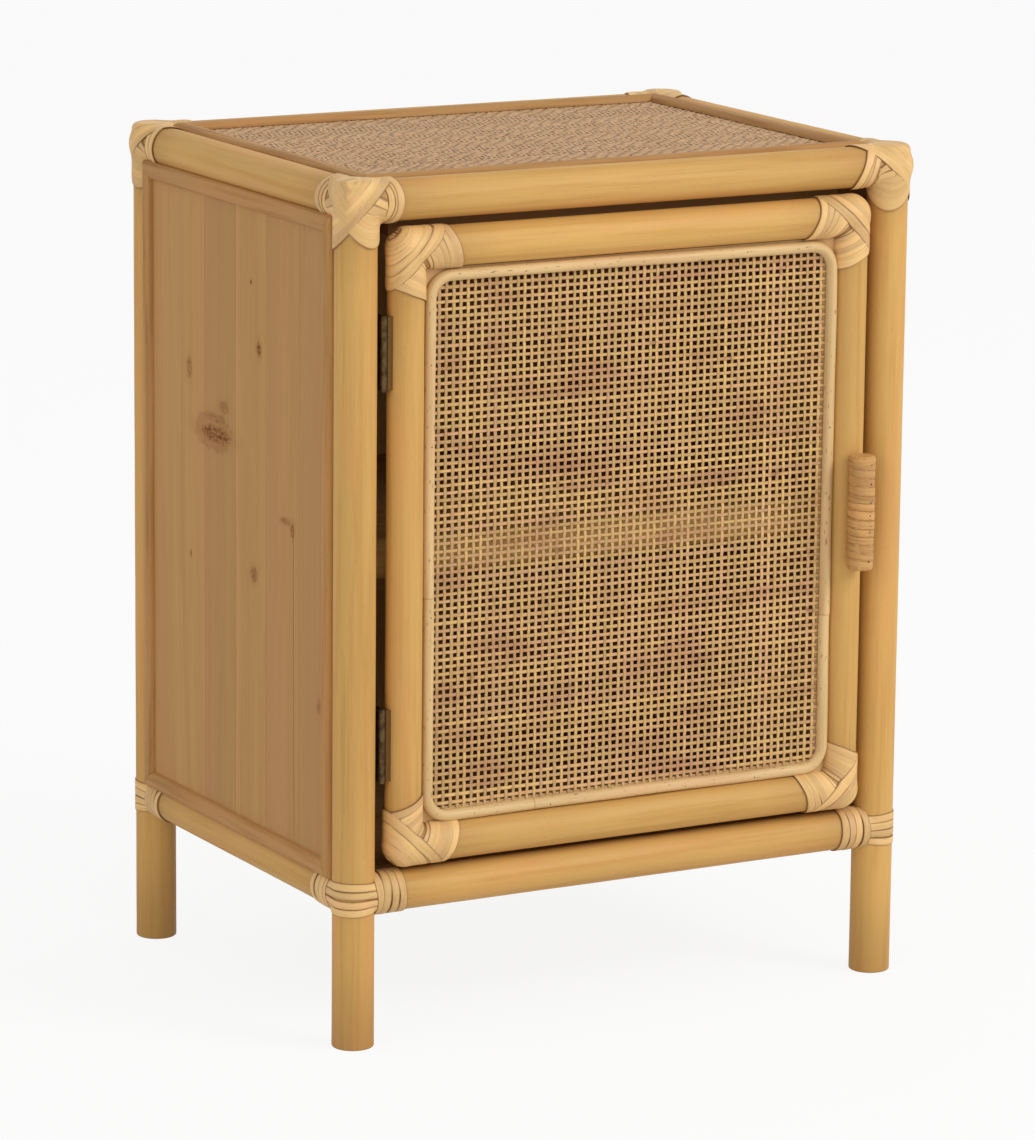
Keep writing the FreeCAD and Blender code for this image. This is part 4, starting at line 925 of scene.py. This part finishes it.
# Height of a whole stack of strips, of a crossed strip, and the room kept for each later one
STACK = 1.3 * MM
LAYER = 0.42 * MM
LATER_ROOM = 0.022 * MM
# Two strips cross where their middle lines lie nearer than this share of both widths
TOUCH = 0.47
# How far a strip's hidden side may reach below its base, and into the pole
UNDERSIDE = 0.35 * MM
SUNK = 0.15 * MM
FILLET = 1.2 * MM
LONGEST_REACH = 60 * MM
STRAND_END = 15.5 * MM
STRAND_T = 0.65 * MM
STRAND_GAP = 0.04 * MM

# Turns round a top rail's end: place along the rail, and how far each leans into the corner
RAIL_BANDS = ((15.0, 0.30), (19.0, 0.34), (22.2, 0.30))
# How far the bands on the front rail's right end slope away from the corner on their way down
BAND_SLOPE = 0.38
# Slanted turns over a top corner, from its nose down: places along the post
SLANTED_TURNS = (-18.5, -13.0, -7.5, -2.0, 3.5, 9.0)
SLANT_DOWN = 0.46
SLANT_UP = 1.0
SHORT_REACH = 15.5 * MM
# The strip under a top corner's turns: its width, and how far to either side of the nose it reaches
TIE_W = 9 * MM
TIE_ARC = math.radians(50)
# Share of a top rail's radius that its end is rounded by under the turns
RAIL_NOSE = 0.6
# Turns on a door corner's rail and stile: places on its inner and its outer side
DOOR_TURNS = (((19.0, -3.0), (17.0, -8.0)), ((21.0, 3.0), (19.0, -2.0)), ((24.0, 9.0), (21.5, 4.0)),
              ((28.0, 15.0), (25.0, 10.0)), ((32.5, 21.0), (29.0, 16.0)), ((36.5, 27.0), (33.0, 22.0)))
# Straps across a door corner: how far out each lies, and its width
DOOR_STRAPS = ((12.0, 4.0), (9.2, 5.4), (5.0, 5.8), (0.4, 6.0), (-5.8, 8.0))
# Strips from the front round the nose of a door corner to its back: places beside its middle, and reach
NOSE_STRIPS = (-5.6, 0.0, 5.6)
NOSE_ARC = math.radians(78)
# Turns round a bottom rail's end: places along the rail
BAND_TURNS = (14.4, 20.0, 25.7, 31.6)
# Strands round the post of a bottom corner: heights over the rail's middle
POST_BANDS = (8.2, 2.3, -3.6, -9.5)


def rod_gap(points, start, direction, radius, rounding, length=1.0):
    """Distance to a round bar with a rounded start, which ends square at its length; negative inside it."""
    away = points - start
    along = away @ direction
    over = np.linalg.norm(away - along[..., None] * direction, axis=-1) - radius + rounding
    past = rounding - along
    outside = np.hypot(np.maximum(over, 0), np.maximum(past, 0))
    return np.maximum(outside + np.minimum(np.maximum(over, past), 0) - rounding, along - length)


def smooth_union(a, b):
    """Lesser of two distances, with the crease between them filled by a small fillet."""
    share = np.clip(0.5 + 0.5 * (b - a) / FILLET, 0, 1)
    return b * (1 - share) + a * share - FILLET * share * (1 - share)


def eased(share):
    """Smooth step of a share from nought to one."""
    share = np.clip(share, 0, 1)
    return share ** 2 * (3 - 2 * share)


class Winding:
    """The strips wound over one corner, each laid over those before it."""

    def __init__(self, rods, planned, ground=0.03 * MM):
        self.rods = rods
        self.planned = planned
        self.ground = ground
        self.turns = []
        self.shape = new_shape()

    def gap(self, points):
        """Distance from points to the poles of the corner."""
        found = rod_gap(points, *self.rods[0])
        for rod in self.rods[1:]:
            found = smooth_union(found, rod_gap(points, *rod))
        return found

    def reach(self, origin, rays, height):
        """How far along each ray the poles' surface lies, plus a height: steps of the distance left to go."""
        far = np.zeros(rays.shape[:-1])
        for _ in range(40):
            far = np.clip(far + height - self.gap(origin + far[..., None] * rays), 0, LONGEST_REACH)
        return far

    def lift(self, line, width):
        """Height of a new strip's underside along its line: above each strip that it crosses, evened out."""
        base = np.full(len(line), self.ground)
        for centre, first, second, normal, arc, wide, angle, below in self.turns:
            away = line - centre
            spot = np.arctan2(away @ second, away @ first)
            near = (np.abs(away @ normal) < (width + wide) * TOUCH) & (np.abs(spot) < arc)
            under = np.interp(spot, angle, below, period=FULL_TURN)
            base = np.where(near, np.maximum(base, under + LAYER), base)
        grown = np.max([np.roll(base, k) for k in range(-2, 3)], axis=0)
        base = np.mean([np.roll(grown, k) for k in range(-2, 3)], axis=0)
        later = self.planned - 1 - len(self.turns)
        return np.minimum(base, STACK - STRIP_T * 1.06 - LATER_ROOM * later)

    def lay(self, points, wide, run, closed):
        """Adds a strip's points, one section to a row. It has its own tone, and its grain runs along it."""
        grids = [points, stacked(wide, 0.0, run[:, None]) + grain_shift(),
                 np.full(wide.shape, np.clip(random.normal(0.5, 0.24), 0, 1)),
                 np.broadcast_to(np.abs(SECTION_ACROSS) * 2, wide.shape)]
        if closed:
            add_grid(self.shape, *grids, wrap_u=True, wrap_v=True)
        else:
            add_tube(self.shape, *(grid.swapaxes(0, 1)[::-1] for grid in grids))

    def turn(self, centre, normal, facing, width=STRIP_W, arc=None, samples=72):
        """One turn of strip in the plane through centre across normal, or what lies within arc of facing."""
        normal, facing = unit(normal), np.array(facing, float)
        first = unit(facing - (facing @ normal) * normal)
        second = np.cross(normal, first)
        angle = np.linspace(-arc, arc, samples) if arc else np.linspace(0, FULL_TURN, samples, endpoint=False)
        rays = np.cos(angle)[:, None] * first + np.sin(angle)[:, None] * second
        line = centre + self.reach(centre, rays, 0.0)[:, None] * rays
        base = self.lift(line, width)
        self.turns.append((centre, first, second, normal, arc or FULL_TURN, width, angle, base))
        pinch = 1 + 0.07 * np.sin(angle * 2 + random.uniform(0, 6))
        pinch = pinch + 0.05 * np.sin(angle * 5 + random.uniform(0, 6))
        wide = SECTION_ACROSS * width * pinch[:, None]
        base = base[:, None]
        height = np.where(SECTION_RISE > 0, base + SECTION_RISE * STRIP_T,
                          np.maximum(base - UNDERSIDE, -SUNK))
        origin = centre + wide[..., None] * normal
        rays = rays[:, None]
        self.lay(origin + self.reach(origin, rays, height)[..., None] * rays, wide, run_of(line), arc is None)

    def strand(self, corner, along, rise, width, samples=73):
        """Strip from one rail round the outside of the post to the other rail, bowed away from their axes.

        Seen from above it runs straight beside each rail and in a quarter circle round the post. Towards its
        ends it draws in a little in height, and in depth from the post's radius to the rail's face there.
        """
        first, second = along if np.cross(*along)[Z] < 0 else along[::-1]
        quarter = math.pi / 4 * POST_R
        run = np.linspace(-1, 1, samples) * (quarter + STRAND_END)
        turn = (np.clip(run / POST_R, -math.pi / 4, math.pi / 4) + math.pi / 4)[:, None]
        outward = -np.cos(turn) * second - np.sin(turn) * first
        past = np.maximum(np.abs(run) - quarter, 0.0)[:, None]
        beside = past * np.where(run[:, None] < 0, first, second)
        drawn = eased((np.abs(run) - 0.4 * quarter) / (0.6 * quarter + 0.8 * STRAND_END))[:, None]
        wide = SECTION_ACROSS * width * (1 - 0.08 * drawn)
        level = rise * (1 - 0.12 * drawn) + wide
        rail_face = np.sqrt(np.maximum(RAIL_R ** 2 - level ** 2, 0.0))
        depth = POST_R + (rail_face - POST_R) * eased(past / (0.7 * STRAND_END))
        depth = np.maximum(depth, np.sqrt(np.maximum(POST_R ** 2 - past ** 2, 0.0)))
        lift = depth + STRAND_GAP + np.maximum(SECTION_RISE, -0.1) * STRAND_T
        points = corner + beside[:, None] + lift[..., None] * outward[:, None] + level[..., None] * UP
        self.lay(points, wide, run, False)


def make_top_binding(row, column):
    """Bands round each rail's end, and slanted turns over the post and one rail that cross at the edge."""
    along = -np.diag([SIDES[column], ROWS[row], 1.0])
    corner = np.array([SIDES[column] * POST_X, POST_Y[row], RAIL_Z["top"]])
    post = (np.array([*corner[:2], HEIGHT]), along[2], POST_R, POST_TOP_ROUNDING)
    rails = [(corner - along[k] * RAIL_R, along[k], RAIL_R, RAIL_R * RAIL_NOSE) for k in (0, 1)]
    winding = Winding([post, *rails], 2 * (len(RAIL_BANDS) + len(SLANTED_TURNS)) + 1)
    nose = -along.sum(0)
    slope = (BAND_SLOPE, 0.0) if (row, column) == ("front", "right") else (0.0, 0.0)

    def band(pole, place_on, lean):
        winding.rods = [rails[pole]]
        normal = along[pole] + (lean + jitter(0.04)) * along[1 - pole] + (jitter(0.06) + slope[pole]) * UP
        winding.turn(corner + along[pole] * (place_on + jitter(0.4)) * MM, normal, -along[1 - pole],
                     STRIP_W + jitter(0.4) * MM)

    winding.turn(corner, along[0] - along[1], nose, TIE_W, arc=TIE_ARC)
    for place_on, lean in RAIL_BANDS[:-1]:
        band(0, place_on, lean)
        band(1, place_on, lean)
    for number, place_on in enumerate(SLANTED_TURNS):
        for low, high in ((0, 1), (1, 0)) if number % 2 else ((1, 0), (0, 1)):
            winding.rods = [post, rails[high], (*rails[low], SHORT_REACH + RAIL_R)]
            normal = along[2] - (SLANT_DOWN + jitter(0.05)) * along[low]
            normal = normal + (SLANT_UP + jitter(0.06)) * along[high]
            centre = corner + normal * (place_on + jitter(0.5)) * MM / (normal @ normal)
            winding.turn(centre, normal, nose, STRIP_W + jitter(0.4) * MM)
    for pole in (0, 1):
        band(pole, *RAIL_BANDS[-1])
    name = row + "_" + column
    finish_piece("top_lashing_" + name, winding.shape, STRIP, "frame", "top_binding_" + name)


def make_bottom_binding(row, column):
    """Turns round the end of each rail, and strands round the outside of the post from one to the other."""
    along = -np.diag([SIDES[column], ROWS[row], 1.0])[:2]
    corner = np.array([SIDES[column] * POST_X, POST_Y[row], RAIL_Z["bottom"]])
    winding = Winding([], 2 * len(BAND_TURNS), 0.5 * MM)
    for rise in POST_BANDS:
        winding.strand(corner, along, (rise + jitter(0.5)) * MM, STRIP_W + (jitter(0.3) - 0.3) * MM)
    for pole in (0, 1):
        winding.rods = [(corner, along[pole], RAIL_R, 0.0)]
        for reach in BAND_TURNS:
            tilt = along[pole] + jitter(0.06) * along[1 - pole] + jitter(0.06) * UP
            winding.turn(corner + along[pole] * (reach + jitter(0.4)) * MM, tilt, -along[1 - pole],
                         STRIP_W + jitter(0.4) * MM)
    name = row + "_" + column
    finish_piece("bottom_lashing_" + name, winding.shape, STRIP, "frame",
                 "bottom_binding_" + name)


def make_door_binding(level, side):
    """Turns that fan from the inner corner over rail and stile, and straps across the outer corner."""
    rail_way = AXES[X] if side == "hinge" else -AXES[X]
    stile_way = -UP if level == "top" else UP
    corner = np.array([STILE_X[side], DOOR_Y, DOOR_RAIL_Z[level]])
    rods = [(corner - rail_way * STILE_R, rail_way, DOOR_RAIL_R, DOOR_RAIL_R * DOME),
            (corner - stile_way * DOOR_RAIL_R, stile_way, STILE_R, STILE_R * DOME)]
    winding = Winding(rods, 2 * len(DOOR_TURNS) + len(DOOR_STRAPS) + len(NOSE_STRIPS))
    out = unit(-(rail_way + stile_way))
    beside = np.cross(out, AXES[Y])
    for offset in NOSE_STRIPS:
        winding.turn(corner + beside * offset * MM, beside + jitter(0.08) * out, out, arc=NOSE_ARC)
    for on_rail, on_stile in DOOR_TURNS:
        for way, other, radius, (inner, outer) in ((rail_way, stile_way, DOOR_RAIL_R, on_rail),
                                                   (stile_way, rail_way, STILE_R, on_stile)):
            tilt = (inner - outer) * MM / (2 * radius) + jitter(0.03)
            start = ((inner + outer) / 2 + jitter(0.4)) * MM
            winding.turn(corner + way * start, way - tilt * other, -other, STRIP_W + jitter(0.4) * MM)
    for reach, width in DOOR_STRAPS:
        winding.turn(corner + out * (reach + jitter(0.3)) * MM, out + jitter(0.06) * rail_way, -AXES[Y],
                     width * MM)
    name = level + "_" + side
    finish_piece("door_lashing_" + name, winding.shape, STRIP, "door", "door_binding_" + name)


# ---------------------------------------------------------------- handle

HANDLE_R = 10.0 * MM
HANDLE_LENGTH = 81.5 * MM
HANDLE_ROUNDING = 1.2 * MM
WRAP_T = 1.8 * MM
WRAP_TURNS = 14
WRAP_SAMPLES = 44
# Shares of the handle's length, from its head, at which its winding is pinned
PIN_PLACES = (0.07, 0.24, 0.40, 0.515, 0.66, 0.92)
PIN_R = 0.55 * MM
PIN_SUNK = 0.35 * MM
# Side of the handle that the pins are on, in degrees from the right towards the back
PIN_SIDE = -80


def make_handle():
    """Stick wound with one length of flat cane: an oval section carried along a helix, pinned in places.

    The strip narrows in uneven steps from turn to turn. Bell curves of its length tear pale flakes off it.
    """
    x, _, z = middle("handle_core")
    y = corners("handle_core")[0][Y] + HANDLE_R - WRAP_T
    low, high = z - HANDLE_LENGTH / 2, z + HANDLE_LENGTH / 2
    core = new_shape()
    add_pole(core, (x, y, low), (x, y, high), HANDLE_R - WRAP_T / 2,
             rounding=(HANDLE_ROUNDING, HANDLE_ROUNDING), tint=0.0)
    finish_piece("handle_stick", core, WRAP, "door", "handle_core")
    number = np.arange(WRAP_TURNS)
    turns = np.linspace(-0.45, WRAP_TURNS - 0.55, WRAP_TURNS * WRAP_SAMPLES)

    def between(values):
        return np.interp(turns, number, values)

    edges = np.append(0.0, np.cumsum(random.uniform(0.72, 1.28, WRAP_TURNS)))
    edges = edges / edges[-1] * (HANDLE_LENGTH - 2 * HANDLE_ROUNDING)
    centre_z = low + HANDLE_ROUNDING + between((edges[:-1] + edges[1:]) / 2)
    width = between(np.diff(edges)) * 1.04
    step = between(random.uniform(0, 0.34, WRAP_TURNS))
    swell = 1 - step - 0.08 * (0.5 + 0.5 * np.sin(turns * 2.3 + 1)) - 0.06 * (0.5 + 0.5 * np.sin(turns * 5.1))
    torn = 1 + 0.07 * np.sin(turns * 31) + 0.05 * np.sin(turns * 53 + 2) + 0.04 * np.sin(turns * 97)
    flake_place = number + random.uniform(-0.74, -0.46, WRAP_TURNS)
    flake_size = random.uniform(0.025, 0.07, WRAP_TURNS)
    flake_depth = np.clip(random.uniform(-0.4, 1.0, WRAP_TURNS), 0, 1)
    flakes = np.exp(-((turns[:, None] - flake_place) / flake_size) ** 2) @ flake_depth
    swell = swell - 0.32 * flakes
    torn = torn - 0.22 * flakes
    cosine, sine = (f(np.linspace(0, FULL_TURN, 10, endpoint=False))[:, None] for f in (np.cos, np.sin))
    across = 0.5 * np.sign(cosine) * np.abs(cosine) ** 0.6
    rise = 0.5 * np.sign(sine) * np.abs(sine) ** 0.75
    angle = -FULL_TURN * turns
    radius = HANDLE_R - WRAP_T / 2 + rise * WRAP_T * swell - (1 - swell) * WRAP_T * 0.5
    points = stacked(x + radius * np.cos(angle), y + radius * np.sin(angle), centre_z + across * width * torn)
    grain = stacked(across * width, 0.0, turns * FULL_TURN * HANDLE_R)
    tone = between(random.normal(0.45, 0.26, WRAP_TURNS)) + 0.1 * np.sin(turns * 4.3) + 0.7 * flakes
    wrap = new_shape()
    add_tube(wrap, points, grain, np.clip(tone, 0, 1), np.broadcast_to(np.abs(across) * 2, radius.shape))
    finish_piece("handle_winding", wrap, WRAP, "door", "handle_wrap")
    pins = new_shape()
    for share in PIN_PLACES:
        lean = math.radians(jitter(5) + PIN_SIDE)
        outward = np.array([math.cos(lean), math.sin(lean), 0.0])
        spot = np.array([x, y, high - share * HANDLE_LENGTH]) + outward * (HANDLE_R - PIN_SUNK)
        add_brad(pins, spot, outward, PIN_R)
    finish_piece("handle_pins", pins, BRAD_STEEL, "door")


# ---------------------------------------------------------------- pieces kept from the frame

KEPT = ((BOARD_X, "top_panel", "floor_panel", "shelf_board", "catch_batten"),
        (BOARD_Y, "battens"),
        (PACKER_PINE_IN_SHADE, "hinge_packers"),
        (BACKING, "door_backing_frame"),
        (PLASTIC, "catch_housing"),
        (MAGNET, "catch_magnet"),
        (STEEL, "strike_plate", "frame_long_screws", "door_long_screws"),
        (BRASS, "frame_small_screws", "door_small_screws", "hinge_pins", "hinge_frame_leaf_lower",
         "hinge_frame_leaf_upper", "hinge_door_leaf_lower", "hinge_door_leaf_upper"))


def dress_kept_nodes():
    """Materials of the boards, fittings and fasteners whose CAD shape is shown as it is."""
    for material, *names in KEPT:
        for name in names:
            slots = nodes[name].data.materials
            if not slots:
                slots.append(material)
            for index in range(len(slots)):
                slots[index] = material


# ---------------------------------------------------------------- floor, light and camera

CAMERA_PLACE = (-1.92939, -3.45944, 1.14219)
CAMERA_TARGET = (0.003326, 0.01055, 0.28395)
CAMERA_ROLL = 0.589
CAMERA_LENS = 178.39
CAMERA_SENSOR = 36.0
LAMP_TARGET = (0.0, 0.0, 0.3)
FLOOR_REACH = 6.0
FLOOR_COLOR = (0.86, 0.86, 0.86, 1.0)
# How much of the floor is plain white to the camera: the rest of it keeps the shadow
FLOOR_WHITE = 0.88
WORLD_LIGHT = 0.62
WHITE = (1.0, 1.0, 1.0, 1.0)


def seen_white(tree, kind):
    """One where the camera, mirrors and glass look, nought where light does, and a plain white shader."""
    path = tree.nodes.new("ShaderNodeLightPath").outputs
    seen = plus(tree, path["Is Camera Ray"], path["Is Glossy Ray"])
    seen = sums(tree, "ADD", seen, path["Is Transmission Ray"], clamp=True)
    return seen, put(tree, kind, {"Color": WHITE, "Strength": 1.0}).outputs[0]


def make_floor():
    """Pale floor that keeps a soft shadow."""
    mesh = bpy.data.meshes.new("studio_floor")
    ground = [(-FLOOR_REACH, -FLOOR_REACH, 0), (FLOOR_REACH, -FLOOR_REACH, 0), (FLOOR_REACH, FLOOR_REACH, 0),
              (-FLOOR_REACH, FLOOR_REACH, 0)]
    mesh.from_pydata(ground, [], [(0, 1, 2, 3)])
    material, tree, shader = new_material("studio_floor", {"Roughness": 0.9, "Base Color": FLOOR_COLOR})
    seen, white = seen_white(tree, "ShaderNodeEmission")
    inputs = {0: times(tree, seen, FLOOR_WHITE), 1: shader.outputs[0], 2: white}
    feed(tree, tree.nodes["Material Output"], {0: put(tree, "ShaderNodeMixShader", inputs).outputs[0]})
    mesh.materials.append(material)
    floor = add_object("studio_floor", mesh)


def make_world():
    """Even pale light from all round, white where it is seen directly."""
    world = bpy.data.worlds.new("studio")
    bpy.context.scene.world = world
    world.use_nodes = True
    tree = world.node_tree
    tree.nodes.clear()
    light = put(tree, "ShaderNodeBackground", {"Color": WHITE, "Strength": WORLD_LIGHT}).outputs[0]
    seen, white = seen_white(tree, "ShaderNodeBackground")
    mixed = put(tree, "ShaderNodeMixShader", {0: seen, 1: light, 2: white}).outputs[0]
    put(tree, "ShaderNodeOutputWorld", {0: mixed})


def looking(place_at, target):
    """Turn of a lamp or camera at a place that faces a target."""
    return (Vector(target) - Vector(place_at)).to_track_quat("-Z", "Y")


def make_lamp(name, place_at, size, power):
    """Square soft lamp that faces the cabinet."""
    light = bpy.data.lights.new(name, "AREA")
    light.shape = "SQUARE"
    light.size = size
    light.energy = power
    lamp = add_object(name, light)
    lamp.location = place_at
    lamp.rotation_euler = looking(place_at, LAMP_TARGET).to_euler()


def make_camera():
    """Long lens from the front left, a little above the top."""
    data = bpy.data.cameras.new("camera")
    data.lens = CAMERA_LENS
    data.sensor_width = CAMERA_SENSOR
    data.sensor_fit = "AUTO"
    data.clip_end = 50.0
    camera = add_object("camera", data)
    camera.matrix_world = (Matrix.Translation(CAMERA_PLACE)
                           @ looking(CAMERA_PLACE, CAMERA_TARGET).to_matrix().to_4x4()
                           @ Matrix.Rotation(math.radians(CAMERA_ROLL), 4, "Z"))
    bpy.context.scene.camera = camera


make_camera()
make_frame_poles()
make_door_poles()
make_trims()
make_panels()
make_mat()
make_webbing()
make_ring()
for row in ROWS:
    for column in SIDES:
        make_top_binding(row, column)
        make_bottom_binding(row, column)
for level in DOOR_RAIL_Z:
    for side in STILE_X:
        make_door_binding(level, side)
make_handle()
dress_kept_nodes()
make_floor()
make_world()
make_lamp("key_lamp", (1.9, -2.6, 2.3), 1.6, 62.0)
make_lamp("fill_lamp", (-2.6, -1.6, 1.5), 1.8, 14.0)

bpy.context.scene.view_settings.view_transform = "Standard"
